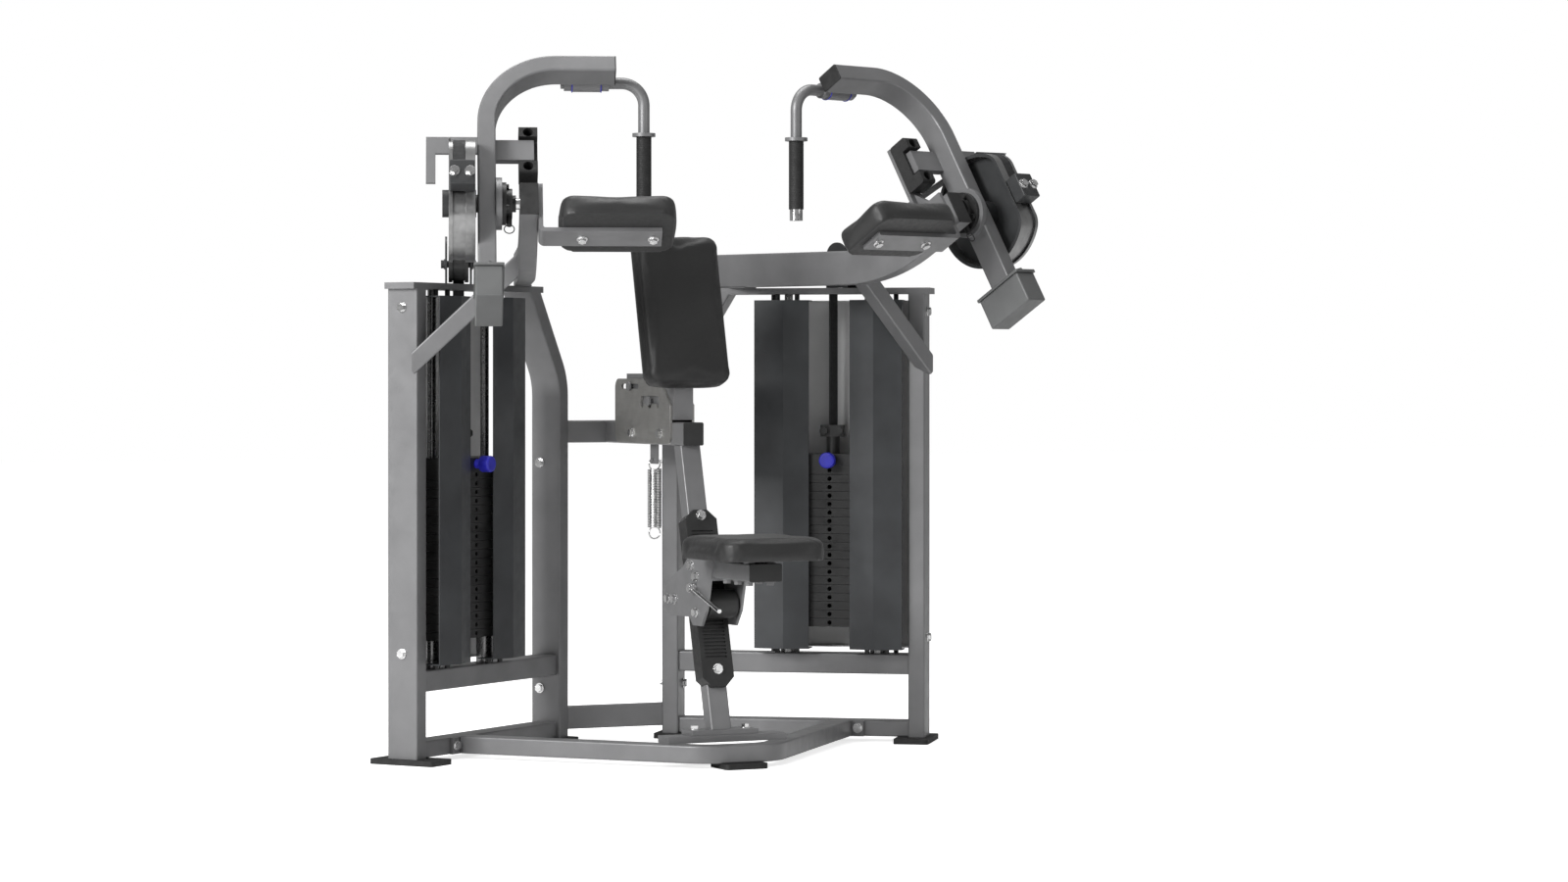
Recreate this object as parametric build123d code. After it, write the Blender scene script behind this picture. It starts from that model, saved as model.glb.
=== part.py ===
"""Seated two-arm extension machine with two weight stacks, built as an assembly of separate pieces.

Millimetres. +Z is up, the seated user faces -Y and the user's left hand is at +X.  Every paired piece
is made once for the user's left side and mirrored in the YZ plane.  Three working frames are used:
  SWING  x forward in the arm's swing plane, y outward along the arm's pivot axis, z up
  ARM    origin on the pivot axis, x square to the leaning arm, y outward, z up along the arm
  TOWER  origin at the inner post, x towards the machine's front, y along the tower to the outer post
  COLUMN origin where the seat column meets the floor, x to the left, y back, z up along the column
"""
import os
from math import asin, atan2, cos, degrees, radians, sin, tan

from build123d import *

# ---------------------------------------------------------------- driving dimensions
SWING_YAW = 20.0            # each arm plane is turned outward from the machine's centre plane
ARM_LEAN = 31.0             # the arm leans back this far at rest
PIVOT_FORWARD = 900.0       # pivot axis, forward in the swing plane

TUBE_WALL = 3.0
TUBE_CORNER = 4.0
POST_DEPTH = 80.0
POST_WIDTH = 40.0
INNER_POST_X = 161.8
TOWER_TURN = 36.27
TOWER_LENGTH = 607.0        # inner post to outer post, centre to centre
POST_TOP = 1066.0
PIVOT_HEIGHT = POST_TOP + 179.0
POST_BEND_SHIFT = 125.0     # outward step of the inner post's top
POST_BEND_RADIUS = 140.0
TOP_PLATE_THICK = 14.7
TOP_PLATE_OVERHANG = 12.0
CROSS_WIDTH = 60.0
LOWER_CROSS_BOTTOM = 150.0
LOWER_CROSS_HEIGHT = 49.0
LOWER_CROSS_TOP = LOWER_CROSS_BOTTOM + LOWER_CROSS_HEIGHT
FLOOR_CROSS_HEIGHT = 38.0

LINK_HEIGHT = 53.5
LINK_DEPTH = 40.0
LOWER_LINK_BOTTOM = 18.0
UPPER_LINK_BOTTOM = 707.5
CENTRE_TUBE_WIDTH = 50.0
CENTRE_TUBE_FRONT = 490.0   # front end of the centre tube, ahead of the inner posts

LEG_WIDTH = 50.0
LEG_HEIGHT = 40.0
LEG_JOINT_ALONG = 424.0     # where a leg meets the tower, along the tower
LEG_FLANGE_THICK = 8.0
LEG_FLANGE_HALF = 54.0
LEG_BOLT_SPREAD = 80.0
NOSE_FRONT = 770.0
NOSE_HALF = 78.0
NOSE_RADIUS = 90.0
CROSS_BAR = (292.0, 60.0, 15.5)
CROSS_BAR_Y = -655.0

COLUMN_LEAN = 15.5
COLUMN_WIDTH = 50.0
COLUMN_DEPTH = 40.0
COLUMN_FOOT_Y = -650.0      # where the column's centre line meets the floor
COLUMN_PLATE = (164.0, 62.0, 11.0)

HORN_WIDTH = 40.0
HORN_HEIGHT = 80.0
HORN_OUT = 220.0            # swan-neck centre plane, outward from the machine's axis
HORN_REAR = 84.0
HORN_BEND_START = 590.0
HORN_BEND_RADIUS = 460.0
HORN_END = 36.0             # end face, ahead of the pivot axis along the lean

BRACE_WIDTH = 40.0
BRACE_AHEAD = 14.0          # brace centre, ahead of the outer post's front corner line
BRACE_FOOT_HEIGHT = POST_TOP - 153.0
BRACE_TOP_HEIGHT = POST_TOP + 52.0

SHAFT_RADIUS = 12.5
RUNNING_GAP = 0.05          # radial gap of every running fit
SOFT_GAP = 0.3              # gap beside soft and curved pieces on another body
BEARING_OUT = (256.5, 278.7)
BEARING_RADIUS = 47.0
HUB_PLATE_OUT = (279.0, 292.0)
HUB_PLATE_RADIUS = 57.5

ARM_WIDTH = 40.0
ARM_DEPTH = 60.0
ARM_OUT = 312.0             # arm centre plane
ARM_TOP = 359.0             # cross run of the arm, along the arm from the pivot
ARM_INNER_END = 25.0
ARM_BEND_RADIUS = 158.0
WEIGHT_BLOCK = (132.0, 60.0, 74.0)
WEIGHT_BLOCK_BOTTOM = -276.0
WEIGHT_BLOCK_OUT = 308.5
WEIGHT_LID = (140.0, 66.0, 6.0)

SLEEVE_RADIUS = 20.0
SLEEVE_OUT = (52.5, 120.5)
SLEEVE_COLLAR_RADIUS = 18.0
SLEEVE_COLLAR = 16.0
HANDLE_RADIUS = 13.0
HANDLE_OUT = -43.0
HANDLE_BEND = 50.0
GRIP_TOP = PIVOT_HEIGHT + 162.0
GRIP_BOTTOM = PIVOT_HEIGHT + 5.5
GRIP_RADIUS = 17.0
GRIP_FLANGE_RADIUS = 26.0
HANDLE_TIP = PIVOT_HEIGHT - 20.5

STOP_BAR_HEIGHT = 53.0
STOP_BAR_THICK = 16.0
STOP_BAR_LEVEL = 152.0      # stop bar centre, along the arm from the pivot
STOP_BAR_INNER = 207.0
STRAP_OUT = 445.0           # outer end of the strap behind the drum
STRAP_LEVEL = (149.0, 193.0)
STRAP_THICK = 6.0
STRAP_LEG = (21.0, 71.0)    # width of the strap's leg and the level it reaches down to
BUMPER_OUT = (199.0, 241.0)
BUMPER_LEVEL = (89.0, 213.0)
BUMPER_DEPTH = 32.0
BUMPER_LIP = 22.0
BUMPER_NOTCH_GAP = 6.0
BUMPER_POST_THICK = 10.0

DRUM_OUT = (337.0, 395.0)
DRUM_RADIUS = 128.0
DRUM_RISE = 14.0            # the drum's upper half is set this far up the arm
DRUM_FLAT = 101.0           # front flat of the drum, ahead of the pivot axis
DRUM_RIM = 8.0
DRUM_WEB = 8.0
DRUM_HUB_RADIUS = 30.0
DRUM_EAR = ((-18.0, 120.0), (-18.0, 160.0), (22.0, 160.0), (96.0, 108.0), (80.0, 100.0))
DRUM_EAR_THICK = 4.0
BELT_WIDTH = 26.0
BELT_THICK = 4.0
BELT_GROOVE = 5.0
BELT_SLOT_GAP = 6.0
CLAMP_BLOCK = (34.0, 54.0, 62.0)
CLAMP_BLOCK_LEVEL = -5.0
DRUM_CORNER = 45.0

BRACKET_WIDTH = 60.0
BRACKET_THICK = 10.0
BRACKET_INNER_END = -69.0
BRACKET_DROP = 86.0         # underside of the pad bracket, below the pivot along the lean
BRACKET_LEG_TOP = 38.0
BRACKET_BEND = 14.0
BRACKET_BOLTS = (105.0, -50.3)
ARM_PAD = (162.0, 257.0, 56.0)
ARM_PAD_OUT = 27.7
ARM_PAD_POINT = (PIVOT_FORWARD + 40.0, PIVOT_HEIGHT - 79.0)
ARM_PAD_SHIFT = 8.0

PULLEY_HEIGHT = POST_TOP + 60.0
PULLEY_RADIUS = 42.0
PULLEY_WIDTH = 46.0
PULLEY_GROOVE = 4.0
PULLEY_PLATE_THICK = 5.0
PULLEY_PLATE_GAP = 3.0
PULLEY_PLATE_TOP = 64.0
AXLE_RADIUS = 8.0

STACK_ALONG = 397.0
STACK_PLATE = (100.0, 300.0, 19.6)
STACK_PITCH = 20.4
STACK_COUNT = 19
STACK_BOTTOM = LOWER_CROSS_TOP + 65.0
HEAD_THICK = 29.0
ROD_RADIUS = 10.0
ROD_SPREAD = 220.0
RISER_RADIUS = 20.0
SELECTOR_RADIUS = 12.5
SELECTOR_CLEAR = 1.5
SELECTOR_PIN_RADIUS = 4.8
STEM_RADIUS = 16.5
STEM_HEIGHT = 42.0
BELT_CLAMP = (24.0, 60.0, 28.0)
KNOB_RADIUS = 19.0
KNOB_LENGTH = 43.0
PIN_REACH = 80.0

SHROUD_BOTTOM = LOWER_CROSS_TOP + 12.0
SHROUD_TOP = POST_TOP - 15.0
SHROUD_SHEET = 2.5
SHROUD_LIP = 45.0
INNER_SHROUD = ((215.0, 67.0), (289.0, 81.0), (349.0, 66.0))
OUTER_SHROUD = ((449.0, 68.0), (509.0, 83.0), (577.0, 69.0))
REAR_PANEL_BACK = 58.0
SPACER_RADIUS = 12.0
SHROUD_SPACER_AHEAD = 28.0
REAR_SPACER_BEHIND = 24.0

FOOT_THICK = 12.5
FEET = ((TOWER_LENGTH - 6.0, 6.0, 84.0, 172.0), (-2.0, 6.0, 70.0, 110.0))
NOSE_FOOT = (52.0, 26.0, 70.0)
OUTER_POST_BOLTS = (POST_TOP - 42.0, 239.0)
INNER_POST_BOLTS = (POST_TOP - 406.0, 118.0)
INNER_BOLT_AHEAD = -16.0
INNER_BOLT_TIP = 17.0
BOLT_SHANK = 6.0
BOLT_HEAD = (9.5, 7.0)
WASHER = (12.0, 2.5)

SEAT_PAD = (260.0, 290.0, 50.0)
SEAT_PAD_REAR = -676.0
SEAT_SPACER = (13.0, 8.0)   # radius and height of the spacers under the cushion
SEAT_BEAM_TOP = 452.0
SEAT_BEAM = 40.0
SEAT_BEAM_FRONT = -890.0
SEAT_BOLTS = (-740.0, -800.0, -860.0)
SEAT_BOLT_OUT = 26.0
SEAT_BEAM_REAR = -600.0
RACK_WIDTH = 78.0
RACK_THICK = 14.0
RACK_SIDE = 28.0            # how far the rack's side walls wrap round the column
RACK_CHAMFER = 22.0
RACK_RANGE = (153.0, 552.0)  # heights of the rack's ends above the posts' feet
RACK_GROOVE = 4.0
RACK_PITCH = 8.4
RACK_MARGIN = 12.0
RACK_SCREWS = (41.0, 13.0)  # screw distances from the rack's lower and upper ends
RACK_PLAIN = 26.0           # ungrooved length beside each screw
FIT_GAP = 0.3
CARRIAGE_PLATE = 6.0
CARRIAGE_GAP = 0.5
ROLLER_RADIUS = 16.0

CARRIAGE_OUTLINE = ((-703, 452), (-562, 452), (-532, 430), (-450, 396), (-428, 362), (-434, 332),
                    (-468, 316), (-572, 318), (-592, 300), (-640, 300), (-668, 336))
CARRIAGE_BOLTS = ((-584, 436), (-612, 412), (-612, 330), (-452, 354), (-490, 354))
CROSS_BOLT_RADIUS = 6.0
LATCH_RADIUS = 33.0
LATCH_SIDE = 4.0
LATCH_CENTRE = (-638.0, 350.0)
LEVER_PIVOT = (-606.0, 386.0)
LEVER_TIP = (-762.0, 341.0)
LEVER_RADIUS = 5.0
SPRING_Y = -262.0
SPRING_TAB = 6.0
SPRING_RADIUS = 17.0
SPRING_WIRE = 3.5
SPRING_COIL = (UPPER_LINK_BOTTOM - 197.5, UPPER_LINK_BOTTOM - 59.5)
SPRING_TAB_DROP = 47.0

BACK_PAD = (214.0, 54.0, 363.0)
BACK_PAD_BOTTOM = UPPER_LINK_BOTTOM + 142.5
BACK_PAD_FRONT = -492.0
BACK_PAD_LEAN = 14.0
ADJUSTER = (333.0, 152.0, 6.0)
ADJUSTER_REAR = -93.0
ADJUSTER_BOTTOM = UPPER_LINK_BOTTOM + 2.5
ADJUSTER_NOSE = (66.0, 62.0)   # sloping front corner that the cushion slides back over
NOTCH_PITCH = 47.0
NOTCH_RADIUS = 11.0
SLOT_HEADROOM = 12.0
BACK_PIN_RADIUS = 5.0
BACK_SLOT_GAP = 0.8
BACK_PINS = ((-305.0, UPPER_LINK_BOTTOM + 101.5), (-185.0, UPPER_LINK_BOTTOM + 136.5))
BACK_STEM_FRONT = -434.0
BACK_STEM_SHAPE = ((-150.0, 58.5), (-150.0, 166.5), (-262.0, 166.5), (-305.0, 204.5))
BACK_PLATE = (120.0, 6.0, (15.0, 300.0))


# ---------------------------------------------------------------- working frames
UP = Vector(0, 0, 1)
FORWARD = Vector(sin(radians(SWING_YAW)), -cos(radians(SWING_YAW)), 0)
SWING = Plane(origin=(0, 0, 0), x_dir=FORWARD, z_dir=UP)
LEAN_X = FORWARD * cos(radians(ARM_LEAN)) + UP * sin(radians(ARM_LEAN))
LEAN_Z = UP * cos(radians(ARM_LEAN)) - FORWARD * sin(radians(ARM_LEAN))
PIVOT = FORWARD * PIVOT_FORWARD + UP * PIVOT_HEIGHT
ARM = Plane(origin=PIVOT, x_dir=LEAN_X, z_dir=LEAN_Z)
TOWER_FRONT = Vector(-sin(radians(TOWER_TURN)), -cos(radians(TOWER_TURN)), 0)
TOWER = Plane(origin=(INNER_POST_X, 0, 0), x_dir=TOWER_FRONT, z_dir=UP)
COLUMN_UP = Vector(0, sin(radians(COLUMN_LEAN)), cos(radians(COLUMN_LEAN)))
COLUMN = Plane(origin=(0, COLUMN_FOOT_Y, 0), x_dir=(1, 0, 0), z_dir=COLUMN_UP)


STACK_POINT = SWING.to_local_coords(TOWER.from_local_coords(Vector(0, STACK_ALONG, 0)))
DROP_FORWARD = STACK_POINT.X      # the belt drops on to the stack's centre
BELT_OUT = STACK_POINT.Y


def lean_point(forward, height):
    """ARM-frame x and z of a point given by its forward and height in the swing plane."""
    ahead = forward - PIVOT_FORWARD
    above = height - PIVOT_HEIGHT
    c, s = cos(radians(ARM_LEAN)), sin(radians(ARM_LEAN))
    return ahead * c + above * s, above * c - ahead * s


def swing_point(lean_x, lean_z):
    """Forward and height in the swing plane of an ARM-frame point."""
    c, s = cos(radians(ARM_LEAN)), sin(radians(ARM_LEAN))
    return PIVOT_FORWARD + lean_x * c - lean_z * s, PIVOT_HEIGHT + lean_x * s + lean_z * c


def column_up_at(height):
    """Distance along the leaning column of the point at this height."""
    return height / cos(radians(COLUMN_LEAN))


# ---------------------------------------------------------------- shape helpers
def span(x, y, z, corner=0.0):
    """Box between the pairs x, y and z, its edges along z rounded by corner."""
    base = Pos((x[0] + x[1]) / 2, (y[0] + y[1]) / 2, z[0])
    size = (abs(x[1] - x[0]), abs(y[1] - y[0]))
    outline = RectangleRounded(*size, corner) if corner else Rectangle(*size)
    return base * extrude(outline, z[1] - z[0])


def rod(start, end, radius):
    """Round bar from start to end."""
    axis = Vector(*end) - Vector(*start)
    return extrude(Plane(origin=start, z_dir=axis) * Circle(radius), axis.length)


def ring(start, end, radius, bore):
    """Round bar from start to end with a bore right through."""
    return rod(start, end, radius) - rod(start, end, bore)


def prism(points, axis, start, end, corner=0.0):
    """Polygon in the plane across axis ("X", "Y" or "Z"), filled from start to end along it."""
    plane = {"X": Plane.YZ, "Y": Plane.XZ.offset(0), "Z": Plane.XY}[axis]
    if axis == "Y":
        start, end = -end, -start
    outline = make_face(Polyline(*points, close=True))
    if corner:
        outline = fillet(outline.vertices(), corner)
    return extrude(plane.offset(start) * outline, end - start)


def section(width, depth, wall):
    """Rounded rectangular tube section, open inside unless wall is zero."""
    outer = RectangleRounded(width, depth, TUBE_CORNER)
    if not wall:
        return outer
    return outer - Rectangle(width - 2 * wall, depth - 2 * wall)


def tube(start, end, width_dir, width, depth, wall=TUBE_WALL):
    """Straight rectangular tube; width lies along width_dir."""
    axis = Vector(*end) - Vector(*start)
    plane = Plane(origin=start, x_dir=width_dir, z_dir=axis)
    return extrude(plane * section(width, depth, wall), axis.length)


def bent_tube(points, radii, width_dir, width, depth, wall=TUBE_WALL):
    """Rectangular tube along straight runs joined by tangent bends."""
    path = FilletPolyline(*points, radius=radii) if radii else Polyline(*points)
    plane = Plane(origin=path @ 0, x_dir=width_dir, z_dir=path % 0)
    outer = sweep(plane * section(width, depth, 0), path=path)
    if not wall:
        return outer
    return outer - sweep(plane * Rectangle(width - 2 * wall, depth - 2 * wall), path=path)


def bolt(seat, out):
    """Hexagon head on a washer, standing on seat and facing out."""
    direction = Vector(*out).normalized()
    washer_end = Vector(*seat) + direction * WASHER[1]
    washer = rod(seat, washer_end, WASHER[0])
    head = extrude(Plane(origin=washer_end, z_dir=direction) * RegularPolygon(BOLT_HEAD[0], 6),
                   BOLT_HEAD[1])
    return washer + head


def put(plane, shape):
    """Moves a shape from a working frame into the machine's frame."""
    return plane.location * shape


def both(shape):
    """A piece and its mirror image, as two solids of one node."""
    return Compound(children=solid_list(shape) + solid_list(mirror(shape, about=Plane.YZ)))


def group(*shapes):
    """Separate solids kept apart in one node."""
    return Compound(children=[one for shape in shapes for one in solid_list(shape)])


def solid_list(shape):
    """The shape's solids, each a plain copy."""
    return [Solid(one.wrapped) for one in shape.solids()]


# ---------------------------------------------------------------- towers
PLATE_TOP = POST_TOP + TOP_PLATE_THICK
OUTER_FACE = TOWER_LENGTH + POST_WIDTH / 2
SPREAD = POST_DEPTH / 2


def inner_post(wall=TUBE_WALL):
    """Post that bends outward near its top, cut level under the top plate."""
    rise = POST_BEND_SHIFT / tan(radians(ARM_LEAN))
    past = 1.3
    path = [(0, 0, 0), (0, 0, POST_TOP - rise),
            (0, POST_BEND_SHIFT * past, POST_TOP - rise + rise * past)]
    post = bent_tube(path, POST_BEND_RADIUS, (1, 0, 0), POST_DEPTH, POST_WIDTH, wall)
    room = span((-POST_DEPTH, POST_DEPTH), (-POST_DEPTH, 3 * POST_BEND_SHIFT), (0, POST_TOP))
    return post & room


def tower_frame():
    """Welded weight tower: two posts, top plate and two cross-members."""
    outer = tube((0, TOWER_LENGTH, 0), (0, TOWER_LENGTH, POST_TOP), (1, 0, 0), POST_DEPTH, POST_WIDTH)
    plate_start = POST_BEND_SHIFT - POST_WIDTH / 2 - TOP_PLATE_OVERHANG
    plate = span((-SPREAD, SPREAD), (plate_start, OUTER_FACE + TOP_PLATE_OVERHANG), (POST_TOP, PLATE_TOP))
    slot = belt_slot()
    inside = (POST_WIDTH / 2, TOWER_LENGTH - POST_WIDTH / 2)
    shapes = outer + inner_post() + (plate - slot)
    for bottom, height in ((LOWER_CROSS_BOTTOM, LOWER_CROSS_HEIGHT), (0.0, FLOOR_CROSS_HEIGHT)):
        level = bottom + height / 2
        shapes += tube((0, inside[0], level), (0, inside[1], level), (1, 0, 0), CROSS_WIDTH, height)
    return put(TOWER, shapes)


def belt_slot():
    """Opening in the top plate for the belt's drop run, square to the belt, in the tower's frame."""
    half = BELT_WIDTH / 2 + BELT_SLOT_GAP
    hole = span((DROP_FORWARD - 14, DROP_FORWARD + 14), (BELT_OUT - half, BELT_OUT + half),
                (POST_TOP - 1, PLATE_TOP + 1), 6)
    return TOWER.to_local_coords(put(SWING, hole))


def guide_rods():
    """Two round rods with riser tubes under the resting plates."""
    top = LOWER_CROSS_TOP
    solids = []
    for side in (-0.5, 0.5):
        y = STACK_ALONG + side * ROD_SPREAD
        riser = ring((0, y, top), (0, y, STACK_BOTTOM), RISER_RADIUS, ROD_RADIUS + 1)
        solids += [put(TOWER, rod((0, y, top), (0, y, POST_TOP), ROD_RADIUS)), put(TOWER, riser)]
    return both(group(*solids))


def stack_plates():
    """Resting weight plates, each bored for the rods, the selector rod and its pin."""
    depth, length, thick = STACK_PLATE
    solids = []
    for index in range(STACK_COUNT):
        low = STACK_BOTTOM + index * STACK_PITCH
        plate = span((-depth / 2, depth / 2), (STACK_ALONG - length / 2, STACK_ALONG + length / 2),
                     (low, low + thick), 6)
        plate -= rod((0, STACK_ALONG, low - 1), (0, STACK_ALONG, low + thick + 1),
                     SELECTOR_RADIUS + SELECTOR_CLEAR)
        for side in (-0.5, 0.5):
            y = STACK_ALONG + side * ROD_SPREAD
            plate -= rod((0, y, low - 1), (0, y, low + thick + 1), ROD_RADIUS + 1)
        plate -= rod((0, STACK_ALONG, low + thick / 2), (depth, STACK_ALONG, low + thick / 2),
                     SELECTOR_PIN_RADIUS + 0.4)
        solids.append(put(TOWER, plate))
    return group(*solids)


HEAD_BOTTOM = STACK_BOTTOM + (STACK_COUNT - 1) * STACK_PITCH + STACK_PLATE[2]
HEAD_TOP = HEAD_BOTTOM + HEAD_THICK
PIN_HEIGHT = HEAD_BOTTOM + HEAD_THICK / 2
STEM_TOP = HEAD_TOP + STEM_HEIGHT


def head_plate():
    """Lifted head plate with selector rod, stem and belt clamp."""
    depth, length, _ = STACK_PLATE
    y = STACK_ALONG
    plate = span((-depth / 2, depth / 2), (y - length / 2, y + length / 2), (HEAD_BOTTOM, HEAD_TOP), 6)
    for side in (-0.5, 0.5):
        at = y + side * ROD_SPREAD
        plate -= rod((0, at, HEAD_BOTTOM - 1), (0, at, HEAD_TOP + 1), ROD_RADIUS + RUNNING_GAP)
    plate += rod((0, y, STACK_BOTTOM + 5), (0, y, HEAD_BOTTOM), SELECTOR_RADIUS)
    plate += rod((0, y, HEAD_TOP), (0, y, STEM_TOP), STEM_RADIUS)
    plate -= rod((-PIN_REACH + depth / 2, y, PIN_HEIGHT), (depth, y, PIN_HEIGHT),
                 SELECTOR_PIN_RADIUS + RUNNING_GAP)
    clamp_x, clamp_y, clamp_z = BELT_CLAMP
    clamp = span((-clamp_x / 2, clamp_x / 2), (y - clamp_y / 2, y + clamp_y / 2),
                 (STEM_TOP, STEM_TOP + clamp_z), 3)
    for side in (-0.5, 0.5):
        clamp += bolt((clamp_x / 2, y + side * 38, STEM_TOP + clamp_z / 2), (1, 0, 0))
    return put(TOWER, plate + clamp)


def selector_pin():
    """Selector pin pushed into the head plate, with a round knob."""
    face = STACK_PLATE[0] / 2
    tip = face - PIN_REACH
    pin = rod((tip + 1, STACK_ALONG, PIN_HEIGHT), (face + 1, STACK_ALONG, PIN_HEIGHT), SELECTOR_PIN_RADIUS)
    neck = rod((face + SOFT_GAP, STACK_ALONG, PIN_HEIGHT), (face + 14, STACK_ALONG, PIN_HEIGHT), 11)
    knob = rod((face + 14, STACK_ALONG, PIN_HEIGHT), (face + KNOB_LENGTH, STACK_ALONG, PIN_HEIGHT),
               KNOB_RADIUS)
    knob = fillet(knob.edges().filter_by(GeomType.CIRCLE), 5)
    return put(TOWER, pin + neck + knob)


def shroud(outline):
    """Folded sheet cover with a lip at its top and bottom."""
    front = [(n, s) for s, n in outline]
    back = [(n - SHROUD_SHEET, s) for s, n in reversed(outline)]
    panel = prism(front + back, "Z", SHROUD_BOTTOM, SHROUD_TOP)
    lip_back = [(outline[-1][1] - SHROUD_LIP, outline[-1][0]), (outline[0][1] - SHROUD_LIP, outline[0][0])]
    for low in (SHROUD_BOTTOM, SHROUD_TOP - SHROUD_SHEET):
        panel += prism(front + lip_back, "Z", low, low + SHROUD_SHEET)
    return put(TOWER, panel)


def front_shrouds():
    """Two covers in front of each stack, with the stack's middle left open."""
    return both(group(shroud(INNER_SHROUD), shroud(OUTER_SHROUD)))


def rear_panels():
    """Flat cover behind each stack, with a lip at its top and bottom."""
    ends = (INNER_SHROUD[0][0], OUTER_SHROUD[-1][0])
    back = (-REAR_PANEL_BACK - SHROUD_SHEET, -REAR_PANEL_BACK)
    panel = span(back, ends, (SHROUD_BOTTOM, SHROUD_TOP))
    for low in (SHROUD_BOTTOM, SHROUD_TOP - SHROUD_SHEET):
        panel += span((-REAR_PANEL_BACK, -SPREAD / 2), ends, (low, low + SHROUD_SHEET))
    return both(put(TOWER, panel))


def shroud_spacers():
    """Round spacers that carry the covers between the cross-member and the top plate."""
    solids = []
    low = (LOWER_CROSS_TOP, SHROUD_BOTTOM)
    high = (SHROUD_TOP, POST_TOP)
    for bottom, top in (low, high):
        for s in (INNER_SHROUD[0][0] + 30, OUTER_SHROUD[-1][0] - 30):
            spot = -REAR_SPACER_BEHIND
            solids.append(put(TOWER, rod((spot, s, bottom), (spot, s, top), SPACER_RADIUS / 2)))
        for outline in (INNER_SHROUD, OUTER_SHROUD):
            for end in (-24, 24):
                s = outline[1][0] + end
                spot = SHROUD_SPACER_AHEAD
                solids.append(put(TOWER, rod((spot, s, bottom), (spot, s, top), SPACER_RADIUS / 2)))
    return both(group(*solids))


# ---------------------------------------------------------------- swan-necks, braces and pads
HORN_INNER = HORN_OUT - HORN_WIDTH / 2
HORN_OUTER = HORN_OUT + HORN_WIDTH / 2
HORN_LEVEL = PLATE_TOP + 2.0 + HORN_HEIGHT / 2      # on a 2 mm packer plate
LEAN_DROP = lean_point(HORN_BEND_START + HORN_BEND_RADIUS * sin(radians(ARM_LEAN)),
                       HORN_LEVEL + HORN_BEND_RADIUS * (1 - cos(radians(ARM_LEAN))))[1]


def swan_neck():
    """Tube that rises from the tower's top plate to the pivot, with the bumper post on its back."""
    corner_run = HORN_BEND_RADIUS * tan(radians(ARM_LEAN / 2))
    corner = (HORN_BEND_START + corner_run, HORN_OUT, HORN_LEVEL)
    end_f, end_z = swing_point(HORN_END, LEAN_DROP)
    path = [(HORN_REAR, HORN_OUT, HORN_LEVEL), corner, (end_f, HORN_OUT, end_z)]
    neck = put(SWING, bent_tube(path, HORN_BEND_RADIUS, (0, 1, 0), HORN_WIDTH, HORN_HEIGHT))
    neck += put(SWING, span((HORN_REAR, HORN_REAR + 170), (HORN_INNER, HORN_OUTER),
                            (PLATE_TOP, HORN_LEVEL - HORN_HEIGHT / 2)))
    back = -ARM_DEPTH / 2 - BUMPER_DEPTH
    post = span((back - BUMPER_POST_THICK, back), (HORN_INNER, HORN_OUTER),
                (LEAN_DROP + HORN_HEIGHT / 2 - 6, BUMPER_LEVEL[1]))
    foot = span((back, -14), (HORN_INNER + 4, HORN_OUTER - 4),
                (LEAN_DROP + HORN_HEIGHT / 2 - 3, BUMPER_LEVEL[0]))
    web = prism([(back, LEAN_DROP + HORN_HEIGHT / 2 - 3), (-14, LEAN_DROP + HORN_HEIGHT / 2 - 3),
                 (back, BUMPER_LEVEL[0])], "Y", HORN_OUT - 5, HORN_OUT + 5)
    neck += put(ARM, post + (web & foot))
    shaft_hole = rod((0, HORN_INNER - 1, 0), (0, HORN_OUTER + 1, 0), SHAFT_RADIUS)
    return neck - put(ARM, shaft_hole)


def bumpers():
    """Black rubber stop blocks, hollowed in front so that the stop bar lands between two lips."""
    back = -ARM_DEPTH / 2 - BUMPER_DEPTH
    block = span((back, -ARM_DEPTH / 2 + BUMPER_LIP), BUMPER_OUT, BUMPER_LEVEL)
    block = fillet(block.edges().filter_by(Axis.Y), 8)
    half = STOP_BAR_HEIGHT / 2 + BUMPER_NOTCH_GAP
    notch = span((-ARM_DEPTH / 2, 0), (BUMPER_OUT[0] - 1, BUMPER_OUT[1] + 1),
                 (STOP_BAR_LEVEL - half, STOP_BAR_LEVEL + half))
    block -= notch
    for level in (BUMPER_LEVEL[0] + 17, BUMPER_LEVEL[1] - 17):
        y = (BUMPER_OUT[0] + BUMPER_OUT[1]) / 2
        block -= rod((back - 1, y, level), (0, y, level), 4.5)
        block -= rod((-ARM_DEPTH / 2 - 6, y, level), (0, y, level), 11)
    return both(put(ARM, block))


def braces():
    """Square tubes from the outer posts up to the swan-necks."""
    post_face = SWING.to_local_coords(TOWER.from_local_coords(Vector(SPREAD, TOWER_LENGTH, 0)))
    forward = post_face.X + BRACE_AHEAD
    foot = (forward, post_face.Y + 30, BRACE_FOOT_HEIGHT - 26)
    head = (forward, HORN_OUT, BRACE_TOP_HEIGHT + 20)
    brace = put(SWING, tube(foot, head, (1, 0, 0), BRACE_WIDTH, BRACE_WIDTH))
    reach = 400
    post_room = span((-reach, SPREAD), (-reach, 3 * reach), (0, 4 * reach))
    horn_room = span((0, PIVOT_FORWARD), (0, HORN_OUTER), (0, 4 * reach))
    brace = brace - put(TOWER, post_room) - put(SWING, horn_room)
    return both(brace)


PAD_CENTRE = lean_point(*ARM_PAD_POINT)[0] + ARM_PAD_SHIFT


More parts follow.
